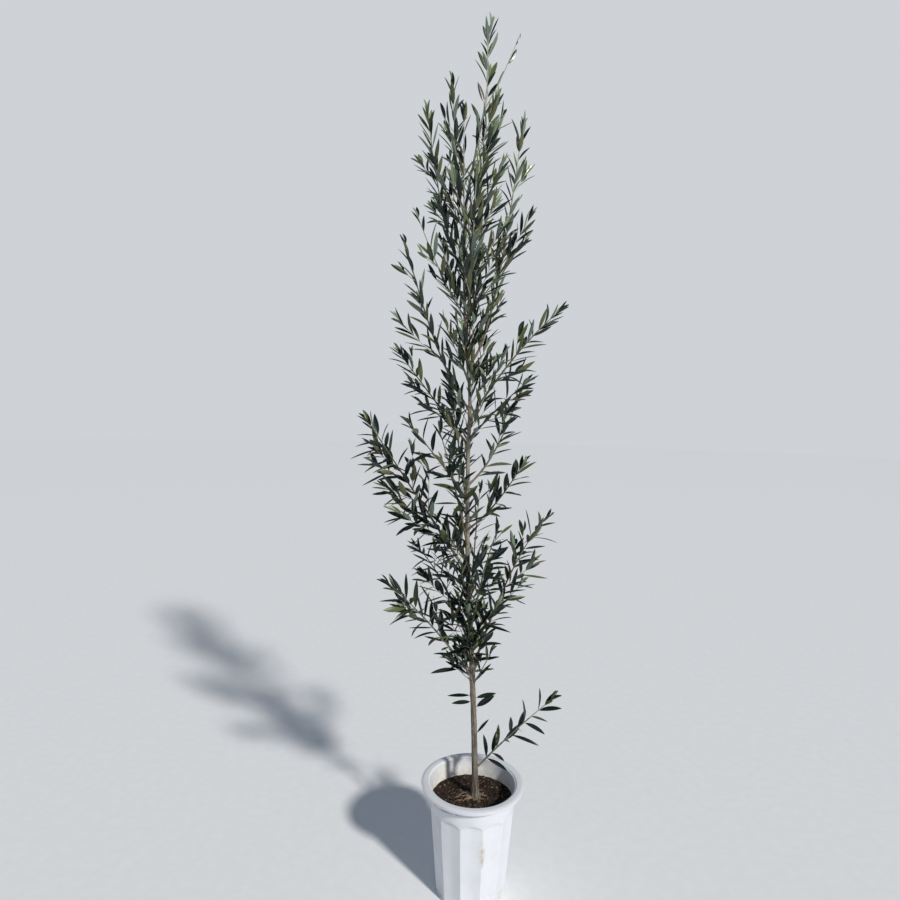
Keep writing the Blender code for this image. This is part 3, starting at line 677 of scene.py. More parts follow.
# A box with eight corners and a lump with twelve, to be stretched, dented and turned
BOX_CORNERS = np.array([(x, y, z) for z in (-1, 1) for y in (-1, 1) for x in (-1, 1)], float)
BOX_FACES = [(0, 2, 3, 1), (4, 5, 7, 6), (0, 1, 5, 4), (2, 6, 7, 3), (0, 4, 6, 2), (1, 3, 7, 5)]
GOLDEN = (1.0 + math.sqrt(5.0)) / 2.0
LUMP_CORNERS = np.array([
    (-1, GOLDEN, 0), (1, GOLDEN, 0), (-1, -GOLDEN, 0), (1, -GOLDEN, 0),
    (0, -1, GOLDEN), (0, 1, GOLDEN), (0, -1, -GOLDEN), (0, 1, -GOLDEN),
    (GOLDEN, 0, -1), (GOLDEN, 0, 1), (-GOLDEN, 0, -1), (-GOLDEN, 0, 1),
]) / math.sqrt(1.0 + GOLDEN**2)
LUMP_FACES = [
    (0, 11, 5), (0, 5, 1), (0, 1, 7), (0, 7, 10), (0, 10, 11), (1, 5, 9), (5, 11, 4),
    (11, 10, 2), (10, 7, 6), (7, 1, 8), (3, 9, 4), (3, 4, 2), (3, 2, 6), (3, 6, 8), (3, 8, 9),
    (4, 9, 5), (2, 4, 11), (6, 2, 10), (8, 6, 7), (9, 8, 1),
]
# Shape, least and greatest length along each side, tilt, shares of the tones, seed
CHIP_KIND = (
    (BOX_CORNERS, BOX_FACES), ((0.003, 0.013), (0.002, 0.006), (0.0012, 0.0034)), 0.45,
    (56, 34, 9, 1), 21,
)
CRUMB_KIND = (
    (LUMP_CORNERS, LUMP_FACES), ((0.0015, 0.0050),) * 3, 0.8, (56, 34, 8, 2), 22,
)


def strew(bundle, count, shape, sizes, tilt, tones, seed):
    """Scatter dented copies of a shape over the mix, half sunk in it."""
    corners, faces = shape
    rng = random.Random(seed)
    reach = pot_inner_radius(SOIL_LEVEL) - CHIP_MARGIN
    for _ in range(count):
        away, turn = reach * math.sqrt(rng.random()), rng.uniform(0.0, FULL_TURN)
        x, y = away * math.cos(turn), away * math.sin(turn)
        if math.hypot(x - TRUNK_OFFSET, y) < TRUNK_CLEAR:
            continue
        size = [0.5 * rng.uniform(*span) for span in sizes]
        dents = np.array([[rng.uniform(*DENTS) for _ in "xyz"] for _ in corners])
        lean = [Matrix.Rotation(rng.gauss(0.0, tilt), 3, axis) for axis in "XY"]
        turn_it = lean[0] @ lean[1] @ Matrix.Rotation(rng.uniform(0.0, FULL_TURN), 3, "Z")
        middle = np.array([x, y, soil_height(x, y) + rng.uniform(*SUNK) * size[2]])
        slot = rng.choices(range(len(tones)), tones)[0]
        bundle.add((corners * dents * size) @ np.array(turn_it).T + middle, faces, slot)


chips = Bundle()
strew(chips, CHIP_COUNT, *CHIP_KIND)
strew(chips, CRUMB_COUNT, *CRUMB_KIND)
print("chips and crumbs:", len(chips.points))

# %% [markdown]
# ## Finishes of the mix
#
# Peat is nearly black where it is wet and warm brown where it has dried, so noise at two sizes
# mixes three browns, and a coarse relief breaks the surface up. The chips have four plain tones,
# from dark bark to bleached wood, dealt out piece by piece, each with its own fine grain.

# %% Soil and chip materials
WET_PEAT = (0.004, 0.002, 0.001)
MOIST_PEAT = (0.030, 0.013, 0.006)
DRY_PEAT = (0.075, 0.035, 0.016)
CHIP_TONES = {
    "dark_bark_chip": (0.015, 0.008, 0.005),
    "brown_bark_chip": (0.055, 0.029, 0.015),
    "tan_wood_chip": (0.165, 0.100, 0.054),
    "bleached_crumb": (0.400, 0.340, 0.250),
}
GRAIN_SHADE = 0.55

peat = Finish("peat", MOIST_PEAT, 0.95)
peat.colour = WET_PEAT
peat.tint(peat.speckles(55.0, 6.0, 0.42, 0.66), MOIST_PEAT)
peat.tint(peat.speckles(420.0, 3.0, 0.40, 0.62), DRY_PEAT, 0.6)
peat.grain(650.0, 5.0, 0.0012, 0.9)

chip_finishes = []
for name, tone in CHIP_TONES.items():
    finish = Finish(name, tone, 0.9)
    grain = finish.speckles(700.0, 4.0, 0.35, 0.7)
    finish.tint(grain, shaded(tone, GRAIN_SHADE))
    finish.relief(grain, 0.0003, 0.8)
    chip_finishes.append(finish)

soil_bundle.to_piece("potting_mix_surface", [peat], 80.0, "potting_mix", ["potting_mix"])
chips.to_piece("chips_and_crumbs", chip_finishes, 20.0, "potting_mix", ["potting_mix"])

# %% [markdown]
# ## The lines of the tree
#
# Everything that grows follows a few lines. The leader bends gently through named heights. A
# bough is a straight reach and a rise, with one number for whether it climbs early or late. The
# same tables and the same rules made the solids, so each line here runs down the middle of its
# solid, and fine twigs can't drift from the coarse masses that they replace.

# %% Tables of the limbs
TRUNK_FOOT = SOIL_LEVEL + SOIL_CROWN + GAP
# Height above the floor against the drift to the right and to the back
TRUNK_BENDS = (
    (0.27, 0.009, 0.000), (0.52, -0.001, 0.004), (0.97, -0.028, 0.008),
    (1.25, -0.034, 0.002), (1.44, -0.033, -0.006), (1.62, -0.050, -0.004),
    (1.95, -0.056, 0.006), (2.12, -0.031, 0.010), (2.27, -0.003, 0.006),
)
TRUNK_TOP = TRUNK_BENDS[-1][0]
TRUNK_FOOT_RADIUS = 0.0092
TRUNK_TIP_RADIUS = 0.0024
TRUNK_TAPER = 0.85
TRUNK_FLARE = 0.0062
FLARE_HEIGHT = 0.060
FLARE_FADE = 3.0

# Height at which it leaves the trunk, compass angle (0 right, 90 back, 180 left, 270 front),
# reach, rise, quickness (above 0 it climbs early, below 0 late), radius at the foot, and the
# share that is bare
Limb = namedtuple("Limb", "leaves_at degrees reach rise quickness foot_radius bare", defaults=(0,))
BOUGHS = {
    "low_right": (0.353, -20, 0.205, 0.235, 0.1, 0.0030, 0.29),
    "lower_left_front": (0.627, 205, 0.250, 0.290, 0.2, 0.0036, 0.23),
    "lower_right_back": (0.645, 30, 0.245, 0.420, 0.5, 0.0042, 0.19),
    "lower_left_back": (0.709, 130, 0.265, 0.250, 0.6, 0.0036, 0.23),
    "lower_front": (0.760, 285, 0.205, 0.330, 0.3, 0.0036, 0.20),
    "lower_back": (0.820, 82, 0.235, 0.320, 0.2, 0.0038, 0.22),
    "big_left": (0.928, 190, 0.285, 0.425, 0.0, 0.0046, 0.20),
    "middle_front_left": (1.010, 245, 0.195, 0.330, 0.2, 0.0034, 0.20),
    "middle_right_front": (1.059, -35, 0.165, 0.185, -0.4, 0.0032, 0.23),
    "middle_back": (1.110, 105, 0.215, 0.350, 0.1, 0.0036, 0.20),
    "middle_left": (1.145, 225, 0.215, 0.205, 0.1, 0.0032, 0.24),
    "middle_right_back": (1.187, 45, 0.215, 0.250, -0.6, 0.0036, 0.23),
    "upper_left_back": (1.300, 148, 0.245, 0.265, 0.0, 0.0034, 0.22),
    "upper_right_front": (1.315, -50, 0.205, 0.150, 0.2, 0.0030, 0.24),
    "long_right": (1.373, 5, 0.240, 0.305, 0.3, 0.0038, 0.19),
    "upper_left": (1.400, 188, 0.185, 0.440, -0.5, 0.0034, 0.19),
    "upper_back": (1.500, 88, 0.170, 0.420, -0.3, 0.0034, 0.19),
    "right_leader": (1.528, 20, 0.150, 0.670, -0.9, 0.0038, 0.20),
    "upper_front": (1.580, 275, 0.150, 0.400, -0.3, 0.0032, 0.19),
    "left_leader": (1.790, 175, 0.110, 0.420, -0.8, 0.0028, 0.18),
}
# Short leafy shoots on the trunk itself: the same measures, without a bare share
SHOOTS = {
    "foot_left": (0.520, 175, 0.045, 0.030, 0.0, 0.0012),
    "foot_right": (0.500, 5, 0.050, 0.045, 0.0, 0.0012),
    "low_front": (0.600, 300, 0.090, 0.130, 0.0, 0.0015),
    "low_back": (0.575, 100, 0.095, 0.130, 0.0, 0.0015),
    "inner_right": (0.935, -10, 0.095, 0.120, 0.0, 0.0015),
    "high_right": (1.652, -25, 0.160, 0.190, 0.0, 0.0018),
    "high_left": (1.660, 205, 0.140, 0.240, -0.3, 0.0018),
    "high_back": (1.800, 110, 0.130, 0.330, -0.4, 0.0018),
    "high_front": (1.850, 265, 0.110, 0.300, -0.4, 0.0018),
    "top_left": (1.930, 165, 0.045, 0.365, -0.8, 0.0018),
    "top_back": (2.020, 35, 0.115, 0.235, -0.3, 0.0016),
    "top_front": (2.080, 300, 0.065, 0.200, -0.5, 0.0016),
    "top_right": (2.230, -15, 0.078, 0.150, -0.2, 0.0014),
    "inner_left": (0.840, 222, 0.085, 0.110, 0.0, 0.0015),
    "core_right": (1.345, -32, 0.095, 0.190, -0.2, 0.0016),
    "core_left": (1.470, 220, 0.085, 0.150, 0.0, 0.0015),
}
# Heights and drifts again, for the leader's last stretch above the trunk's solid
CROWN_TOP_LINE = ((TRUNK_TOP, -0.003, 0.006), (2.38, -0.005, 0.002), (2.45, 0.001, 0.000))
BOUGHS = {name: Limb(*row) for name, row in BOUGHS.items()}
SHOOTS = {name: Limb(*row) for name, row in SHOOTS.items()}
print(len(BOUGHS), "boughs and", len(SHOOTS), "shoots")

# %% Lines from the tables
LIMB_TAPER = 0.8
STEM_TIP_RADIUS = 0.0010
SEAT_DEPTH = 0.8
SHARE_STEP = 0.002


def smooth_line(points, height):
    """A smooth line through (height, right, back) points, read at a height."""
    heights = [p[0] for p in points]
    last = len(points) - 2
    k = 0
    while k < last and height > heights[k + 1]:
        k += 1
    span = heights[k + 1] - heights[k]
    t = min(max((height - heights[k]) / span, 0.0), 1.0)
    before, after = points[max(k - 1, 0)], points[min(k + 2, last + 1)]
    sides = []
    for axis in (1, 2):
        a, b = points[k][axis], points[k + 1][axis]
        slope_a = (b - before[axis]) / (heights[k + 1] - before[0])
        slope_b = (after[axis] - a) / (after[0] - heights[k])
        sides.append(
            (2 * t**3 - 3 * t**2 + 1) * a + (t**3 - 2 * t**2 + t) * span * slope_a
            + (3 * t**2 - 2 * t**3) * b + (t**3 - t**2) * span * slope_b
        )
    return np.array([sides[0], sides[1], height])


def trunk_point(height):
    return smooth_line(TRUNK_BENDS, height)


def trunk_radius(height):
    share = (height - TRUNK_FOOT) / (TRUNK_TOP - TRUNK_FOOT)
    flare = TRUNK_FLARE * math.exp(-FLARE_FADE * (height - TRUNK_FOOT) / FLARE_HEIGHT)
    taper = (TRUNK_TIP_RADIUS - TRUNK_FOOT_RADIUS) * share**TRUNK_TAPER
    return TRUNK_FOOT_RADIUS + taper + flare


def trunk_line(count):
    """Heights evenly spaced up the trunk, with its places and its radii there."""
    heights = np.linspace(TRUNK_FOOT, TRUNK_TOP, count)
    places, radii = zip(*((trunk_point(h), trunk_radius(h)) for h in heights))
    return heights, np.array(places), np.array(radii)


def compass(degrees):
    """The level direction at a compass angle."""
    turn = math.radians(degrees)
    return np.array([math.cos(turn), math.sin(turn), 0.0])


def heading(degrees, rise):
    """The direction at a compass angle and a rise above the level, both in degrees."""
    return compass(degrees) * math.cos(math.radians(rise)) + UP * math.sin(math.radians(rise))


def limb_point(limb, t):
    """The middle of a limb from 0, on the axis of the trunk, to 1, its tip."""
    lift = limb.rise * (t + limb.quickness * t * (1.0 - t))
    return trunk_point(limb.leaves_at) + compass(limb.degrees) * (limb.reach * t) + UP * lift


def limb_radius(foot_radius, t):
    return foot_radius + (STEM_TIP_RADIUS - foot_radius) * t**LIMB_TAPER


def first_clear_share(limb):
    """Where along a limb its middle is well outside the trunk."""
    away = trunk_radius(limb.leaves_at) + GAP + SEAT_DEPTH * limb.foot_radius
    t = 0.0
    while (limb_point(limb, t) - trunk_point(limb.leaves_at)) @ compass(limb.degrees) < away:
        t += SHARE_STEP
    return t


print("trunk radius at the foot:", round(trunk_radius(TRUNK_FOOT), 4))

# %% [markdown]
# ## Tubes with relief
#
# A limb is a tube along a path. Each ring stands square to the path, and each of its corners may
# be pushed out or in by a relief: fissures that run along the limb, a swelling where a bough
# leaves, small ridges where leaves have been. Each corner also gets a place in a straightened
# limb, so that the streaks of the bark follow the limb wherever it bends, and an age, because
# bark starts green and turns grey.

# %% Tube helpers
# Two sizes of fissures: scale round the limb, scale along it, weight
FISSURES = ((1.0, 26.0, 0.65), (2.3, 55.0, 0.35))
# Each limb takes its streaks from a place of its own in the pattern
PLACE_SHIFT = np.array([0.37, 0.11, 0.73])


def unit(vectors):
    return vectors / np.linalg.norm(vectors, axis=-1, keepdims=True)


def tube(path, radii, sides):
    """Rings of a tube, with relief where radii holds a value for each corner."""
    along = unit(np.gradient(path, axis=0))
    helper = np.eye(3)[np.argmin(np.abs(along.mean(0)))]
    side = unit(np.cross(along, helper))
    other = np.cross(along, side)
    turns = turns_of(sides)
    cosines, sines = np.cos(turns)[None, :, None], np.sin(turns)[None, :, None]
    round_it = side[:, None] * cosines + other[:, None] * sines
    radii = np.asarray(radii, float)
    if radii.ndim == 1:
        radii = np.repeat(radii[:, None], sides, 1)
    return path[:, None] + radii[..., None] * round_it, round_it


def lengths_along(path):
    steps = np.linalg.norm(np.diff(path, axis=0), axis=1)
    return np.concatenate([[0.0], np.cumsum(steps)])


def bark_places(lengths, radii, sides, seed):
    """Corners in a straightened limb: the ring in X and Y, the length in Z."""
    turns = turns_of(sides)
    ring = np.stack([np.cos(turns), np.sin(turns)], -1)
    places = np.zeros((len(lengths), sides, 3))
    places[..., :2] = np.asarray(radii)[:, None, None] * ring
    places[..., 2] = lengths[:, None]
    return places + PLACE_SHIFT * seed


def fissures(turn, length, seed, fineness):
    """Relief of bark between about -1 and 1: ridges drawn out along the limb."""
    x, y = math.cos(turn) * fineness, math.sin(turn) * fineness
    return sum(
        weight * noise.noise(Vector((scale * x, scale * y, length * along + seed)))
        for scale, along, weight in FISSURES
    )


print("tubes ready")

# %% [markdown]
# ## Bark
#
# Young olive bark is smooth and grey-green and grows rougher and browner with age, with fine
# pale fibres along the limb. So the colour follows the age that each point carries: green-grey
# shoots, tan wood, grey-brown at the foot. Streaks then lighten and darken it, a few dark
# patches break it up, and the streaks also give the relief that is too fine for the mesh. The
# boughs in the heart of the crown stand in the shade of leaves, and that shade is painted into
# their bark as a darker, olive brown; above and below the heart the bark turns pale, which is
# painted light. So the same recipe is used twice.

# %% Bark finishes
BARK_TONES = (
    (0.0, (0.480, 0.500, 0.390)),
    (0.3, (0.300, 0.280, 0.215)),
    (0.65, (0.330, 0.280, 0.222)),
    (1.0, (0.150, 0.130, 0.103)),
)
# The same age tones darkened: painted shade of the leaves over the boughs in the crown's heart
PAINTED_SHADE_TONES = (
    (0.0, (0.150, 0.150, 0.080)),
    (0.3, (0.120, 0.105, 0.062)),
    (0.65, (0.230, 0.190, 0.140)),
    (1.0, (0.150, 0.130, 0.103)),
)
# Heights between which bough bark passes into painted light, above the crown's heart and below it
LIGHT_ABOVE = (1.70, 2.10)
LIGHT_BELOW = (0.66, 0.58)
BARK_PALE = (0.600, 0.530, 0.440)
BARK_DARK = (0.035, 0.025, 0.018)
BARK_ROUGHNESS = 0.82


def age_ramp(tree, age, tones):
    ramp = add(tree, "ValToRGB", {"Fac": age})
    for stop, (share, tone) in zip(ramp.color_ramp.elements, (tones[0], tones[-1])):
        stop.position, stop.color = share, (*tone, 1.0)
    for share, tone in tones[1:-1]:
        ramp.color_ramp.elements.new(share).color = (*tone, 1.0)
    return ramp.outputs["Color"]


def bark_finish(name, tones, fibre_strength, tones_in_light=None):
    """Bark by age, which may pass over into painted lit tones where it stands in the light."""
    finish = Finish(name, tones[2][1], BARK_ROUGHNESS, follow="bark_place")
    age = finish.carried("age").outputs["Fac"]
    finish.colour = age_ramp(finish.tree, age, tones)
    if tones_in_light:
        above, below = (finish.height_mask(*span) for span in (LIGHT_ABOVE, LIGHT_BELOW))
        in_light = finish.both(above, below, "ADD")
        finish.tint(in_light, age_ramp(finish.tree, age, tones_in_light))
    pale_fibres = finish.fibres(0.07, 520.0, 0.50, 0.70)
    finish.tint(pale_fibres, BARK_PALE, fibre_strength)
    dark_fibres = finish.fibres(0.08, 260.0, 0.55, 0.38)
    patches = finish.speckles(45.0, 4.0, 0.52, 0.70)
    for mask, strength in ((dark_fibres, 0.85), (patches, 0.40)):
        finish.tint(finish.both(mask, age), BARK_DARK, strength)
    finish.relief(pale_fibres, 0.0005, 0.8)
    return finish


olive_bark = bark_finish("olive_bark", BARK_TONES, 0.55)
# Bough bark: painted shade in the crown's heart, painted light above and below it
bough_bark = bark_finish("bough_bark", PAINTED_SHADE_TONES, 0.15, BARK_TONES)
print("bark tones:", len(BARK_TONES))

# %% [markdown]
# ## The trunk
#
# One slim leader, 18 mm thick above its flare and as thin as a straw in the crown. The mesh
# follows the solid's line and radius, and adds what the eye looks for: long fissures, five weak
# ribs in the flare, a swelling under each bough and faint rings where pairs of leaves have sat.

# %% Trunk mesh
TRUNK_SIDES = 44
TRUNK_STEP = 0.0035
FISSURE_DEPTH = 0.065
COLLAR_SWELL = 0.30
COLLAR_LENGTH = 0.016
COLLAR_WIDTH = 0.9
COLLAR_DROP = 0.004
COLLAR_REACH = 2.5
RIB_DEPTH = 0.12
RIBS = 5
RIB_TURN = 0.7
LEAF_SCAR_SPACING = 0.032
LEAF_SCAR_SWELL = 0.055
LEAF_SCAR_LENGTH = 0.0022
FOOT_SINK = 0.004
# Where the trunk's fissures start in the noise, and how fine they are round it
TRUNK_FISSURES = (5.0, 3.4)
AGE_CURVE = 0.8


def collar(turn, height, marks):
    """How much the trunk swells near the boughs that leave it."""
    swell = 0.0
    for mark_height, mark_turn, size in marks:
        rise = (height - mark_height + COLLAR_DROP) / COLLAR_LENGTH
        if abs(rise) < COLLAR_REACH:
            off = math.remainder(turn - mark_turn, FULL_TURN) / COLLAR_WIDTH
            swell += size * math.exp(-rise * rise - off * off)
    return swell


def trunk_relief(turn, height, marks):
    above = height - TRUNK_FOOT
    ribs = RIB_DEPTH * math.cos(RIBS * turn + RIB_TURN) * math.exp(-above / FLARE_HEIGHT)
    off_scar = LEAF_SCAR_SPACING * ((above / LEAF_SCAR_SPACING + 0.5) % 1.0 - 0.5)
    scar = LEAF_SCAR_SWELL * math.exp(-((off_scar / LEAF_SCAR_LENGTH) ** 2))
    rough = FISSURE_DEPTH * fissures(turn, height, *TRUNK_FISSURES)
    return 1.0 + ribs + scar + collar(turn, height, marks) + rough


heights, path, plain = trunk_line(round((TRUNK_TOP - TRUNK_FOOT) / TRUNK_STEP))
_, round_it = tube(path, plain, TRUNK_SIDES)
corner_turns = np.arctan2(round_it[..., 1], round_it[..., 0])
marks = [
    (limb.leaves_at, math.radians(limb.degrees),
     COLLAR_SWELL * limb.foot_radius / trunk_radius(limb.leaves_at))
    for limb in (*BOUGHS.values(), *SHOOTS.values())
]
swollen = plain[:, None] * np.array(
    [[trunk_relief(turn, h, marks) for turn in ring] for h, ring in zip(heights, corner_turns)]
)
trunk_rings, _ = tube(path, swollen, TRUNK_SIDES)
trunk_rings[0, :, 2] = TRUNK_FOOT - FOOT_SINK
trunk_ages = (1.0 - (heights - TRUNK_FOOT) / (TRUNK_TOP - TRUNK_FOOT)) ** AGE_CURVE
trunk_bundle = Bundle()
places = bark_places(lengths_along(path), plain, TRUNK_SIDES, 0.0)
trunk_bundle.add_rings(trunk_rings, ages=trunk_ages, places=places)
trunk_bundle.to_piece("trunk_bark", [olive_bark], 70.0, "bark", ["trunk"])

# %% [markdown]
# ## Roots on top of the mix
#
# The pot is nearly outgrown: roots thinner than a pencil run out from the foot of the trunk, half
# in the mix, most of them to the left. They are tubes whose path wanders sideways and dives at
# its end. Loose fibres as thin as a bristle lie between them.

# %% Surface roots
# Each root: compass angle, length, radius at the trunk
SURFACE_ROOTS = (
    (203, 0.092, 0.0024), (191, 0.080, 0.0020), (213, 0.074, 0.0022), (168, 0.070, 0.0021),
    (150, 0.062, 0.0023), (232, 0.046, 0.0024), (262, 0.030, 0.0028), (296, 0.034, 0.0026),
    (328, 0.048, 0.0024), (56, 0.064, 0.0022), (42, 0.058, 0.0019), (12, 0.060, 0.0021),
    (98, 0.044, 0.0020), (180, 0.062, 0.0016), (24, 0.050, 0.0016),
)
ROOT_SIDES = 10
ROOT_STEPS = 15
ROOT_LIFT = 0.0045
ROOT_WANDER = 0.4
# Start of the path's noise, and how much of the noise a root runs through
WANDER_FROM, WANDER_SPAN = (0.0, 50.0), 3.1
ROOT_DIVE = 0.004
# Thickness at the start and what it loses to the end, then swell and spacing of the knots
ROOT_TAPER, ROOT_KNOTS = (1.15, 0.75), (0.18, 19.0)
ROOT_SEED = 31
ROOT_TONE = (0.270, 0.190, 0.135)
DARK_SHARE, PALE_SHARE = 0.40, 1.35
FIBRE_COUNT = 70
FIBRE_SIDES = 5
FIBRE_LIFT = 0.0015
FIBRE_PLACES = (0.02, 0.105)
FIBRE_LENGTHS = (0.010, 0.030)
FIBRE_RADII = (0.0003, 0.0008)
WALL_MARGIN = 0.004

root_skin = Finish("root_skin", ROOT_TONE, 0.85, follow="bark_place")
root_skin.colour = shaded(ROOT_TONE, DARK_SHARE)
root_fibres = root_skin.fibres(0.15, 600.0, 0.38, 0.66)
root_skin.tint(root_fibres, shaded(ROOT_TONE, PALE_SHARE))
root_skin.relief(root_fibres, 0.0004, 0.8)


def root_path(start, turn, length, rng, lift):
    """A path over the mix that wanders sideways and sinks at its end."""
    wander = rng.uniform(*WANDER_FROM)
    points = []
    for share in evenly(ROOT_STEPS):
        bend = turn + ROOT_WANDER * noise.noise(Vector((wander, WANDER_SPAN * share, 0.0)))
        x = start[0] + math.cos(bend) * length * share
        y = start[1] + math.sin(bend) * length * share
        points.append((x, y, soil_height(x, y) + lift * (1.0 - share) - ROOT_DIVE * share**3))
    return np.array(points)


roots = Bundle()
rng = random.Random(ROOT_SEED)
shares = evenly(ROOT_STEPS)
taper = ROOT_TAPER[0] - ROOT_TAPER[1] * shares
for degrees, length, radius in SURFACE_ROOTS:
    path = root_path(trunk_point(TRUNK_FOOT), math.radians(degrees), length, rng, ROOT_LIFT)
    knots = 1.0 + ROOT_KNOTS[0] * np.sin(shares * ROOT_KNOTS[1] + degrees)
    radii = radius * taper * knots
    places = bark_places(lengths_along(path), radii, ROOT_SIDES, degrees)
    roots.add_rings(tube(path, radii, ROOT_SIDES)[0], places=places)
for _ in range(FIBRE_COUNT):
    away, turn = rng.uniform(*FIBRE_PLACES), rng.uniform(0.0, FULL_TURN)
    start = (away * math.cos(turn), away * math.sin(turn))
    turn, length = rng.uniform(0.0, FULL_TURN), rng.uniform(*FIBRE_LENGTHS)
    path = root_path(start, turn, length, rng, FIBRE_LIFT)
    if (np.hypot(path[:, 0], path[:, 1]) < pot_inner_radius(SOIL_LEVEL) - WALL_MARGIN).all():
        radii = np.full(ROOT_STEPS, rng.uniform(*FIBRE_RADII))
        roots.add_rings(tube(path, radii, FIBRE_SIDES)[0])
roots.to_piece("surface_roots", [root_skin], 60.0, "bark", ["potting_mix"])

# %% [markdown]
# ## Boughs, from the trunk to the last leaf
#
# A bough and the stem of its mass are one living limb, so here they are one tube, tapering all
# the way. Its foot starts inside the trunk and is swollen there, which closes the seam. The
# limb has a small ridge at every pair of leaves. The limbs are joined in four storeys, because a
# part of the crown is easier to work with than some thirty-five loose pieces.

# %% Storeys of the crown
# Name of each storey, and the height on the trunk up to which limbs belong to it
STOREYS = (("lower", 0.90), ("middle", 1.25), ("upper", 1.39), ("top", 9.0))
MEASURING_POINTS = 25
BARE_STEP = 0.040
STEM_STEP = 0.055


def storey_of(height, storeys=STOREYS):
    return next(name for name, up_to in storeys if height < up_to)


def bundle_each():
    return {name: Bundle() for name, _ in STOREYS}


def limb_points(limb, start, end, step):
    """Points of a limb about one step apart, with their radii."""
    rough = np.array([limb_point(limb, t) for t in np.linspace(start, end, MEASURING_POINTS)])
    count = max(2, round(lengths_along(rough)[-1] / step) + 1)
    shares = np.linspace(start, end, count)
    points = np.array([limb_point(limb, t) for t in shares])
    return points, limb_radius(limb.foot_radius, shares)


# Every mass but the last, with the shares at which its limb and its leafy stem start
Mass = namedtuple("Mass", "name storey limb start bare")
masses, bare_lines = [], []
for name, limb in (BOUGHS | SHOOTS).items():
    start = first_clear_share(limb)
    if name in BOUGHS:
        bare_lines.append(limb_points(limb, start, limb.bare, BARE_STEP))
    masses.append(Mass(name, storey_of(limb.leaves_at), limb, start, limb.bare or start))
print("masses by storey:", {s: sum(m.storey == s for m in masses) for s, _ in STOREYS})

# %% Limb meshes
LIMB_SIDES = 12
LIMB_COLLAR = 0.55
LIMB_COLLAR_LENGTH = 0.010
NODE_SWELL = 0.20
NODE_LENGTH = 0.0028
FINE_STEP = 0.005
STEM_OVERRUN = 0.012
# A limb's mesh begins inside the trunk, at this share of where it comes clear of it
INNER_START = 0.25
# Depth of a limb's fissures, the radius from which they are full, their least share on thinner
# wood, and their fineness round the limb
LIMB_FISSURES = (0.05, 0.003, 0.2, 2.0)
LIMB_SEED = 7.0
# Age at the foot of a limb, the foot radius that it is for, how it falls, and the oldest age
LIMB_AGE = (0.62, 0.0036, 1.3, 0.8)
# Spacing of the joints, spread of a grown leaf in degrees, share of leaves kept, how much the
# leaves lift (or hang where it is below 0), size of the leaves, and a twig at every how many
# joints
Habit = namedtuple("Habit", "spacing spread kept lift size twig_every")
HABITS = {
    "lower": (0.0222, 50, 0.92, -0.16, 1.07, 3),
    "middle": (0.0232, 47, 0.88, -0.10, 1.07, 4),
    "upper": (0.0235, 40, 0.92, 0.00, 1.00, 4),
    "top": (0.0250, 33, 0.90, 0.06, 1.00, 3),
}
# Masses with a habit of their own
OWN_HABITS = {
    "low_right": (0.0290, 50, 0.97, -0.05, 1.08, 9),
    "low_front": (0.0280, 36, 0.60, 0.04, 0.80, 9),
    "lower_left_front": (0.0200, 50, 0.95, -0.05, 1.06, 3),
    "lower_right_back": (0.0215, 48, 0.92, -0.10, 1.06, 3),
    "lower_left_back": (0.0205, 50, 0.97, -0.16, 1.00, 2),
    "lower_front": (0.0300, 46, 0.72, -0.10, 0.95, 9),
    "lower_back": (0.0290, 46, 0.75, -0.10, 0.95, 9),
    "big_left": (0.0200, 50, 0.95, -0.16, 1.06, 2),
    "middle_front_left": (0.0235, 50, 0.84, -0.14, 1.06, 6),
    "middle_left": (0.0250, 46, 0.70, -0.10, 1.04, 9),
    "middle_right_back": (0.0250, 44, 0.76, -0.08, 1.04, 8),
    "core_right": (0.0205, 46, 0.95, 0.00, 1.02, 3),
    "upper_left": (0.0230, 34, 0.86, 0.04, 1.00, 5),
    "upper_front": (0.0255, 32, 0.80, 0.06, 1.00, 6),
    "upper_back": (0.0255, 33, 0.82, 0.06, 1.00, 5),
    "high_right": (0.0260, 34, 0.85, 0.06, 1.00, 6),
    "inner_right": (0.0270, 44, 0.50, 0.00, 0.95, 9),
    "inner_left": (0.0260, 46, 0.80, -0.05, 1.00, 9),
    "middle_right_front": (0.0215, 48, 0.95, -0.05, 1.08, 4),
    "middle_back": (0.0270, 44, 0.80, -0.05, 0.95, 6),
    "right_leader": (0.0230, 27, 0.92, 0.06, 1.00, 9),
    "left_leader": (0.0225, 28, 0.95, 0.06, 1.00, 9),
    "top_right": (0.0700, 16, 0.70, 0.10, 0.90, 9),
    "crown_top": (0.0330, 26, 0.85, 0.06, 0.90, 9),
    "top_back": (0.0430, 38, 0.55, 0.02, 0.95, 9),
    "top_front": (0.0400, 34, 0.50, 0.04, 0.95, 9),
    "high_front": (0.0270, 32, 0.78, 0.06, 1.00, 9),
    "high_back": (0.0260, 33, 0.85, 0.06, 1.00, 5),
}
# These have no shoot of their own: a few single leaves on the trunk stand for them
LEAVES_ONLY = ("foot_left", "foot_right")


def habit_of(storey, name=None):
    return Habit(*OWN_HABITS.get(name, HABITS[storey]))


def limb_path(limb, start):
    """Fine path of a limb from inside the trunk to a little past the end of its solid."""
    points, _ = limb_points(limb, INNER_START * start, 1.0, FINE_STEP)
    onward = unit(points[-1] - points[-2]) * STEM_OVERRUN
    return np.vstack([points, points[-1] + 0.5 * onward, points[-1] + onward])


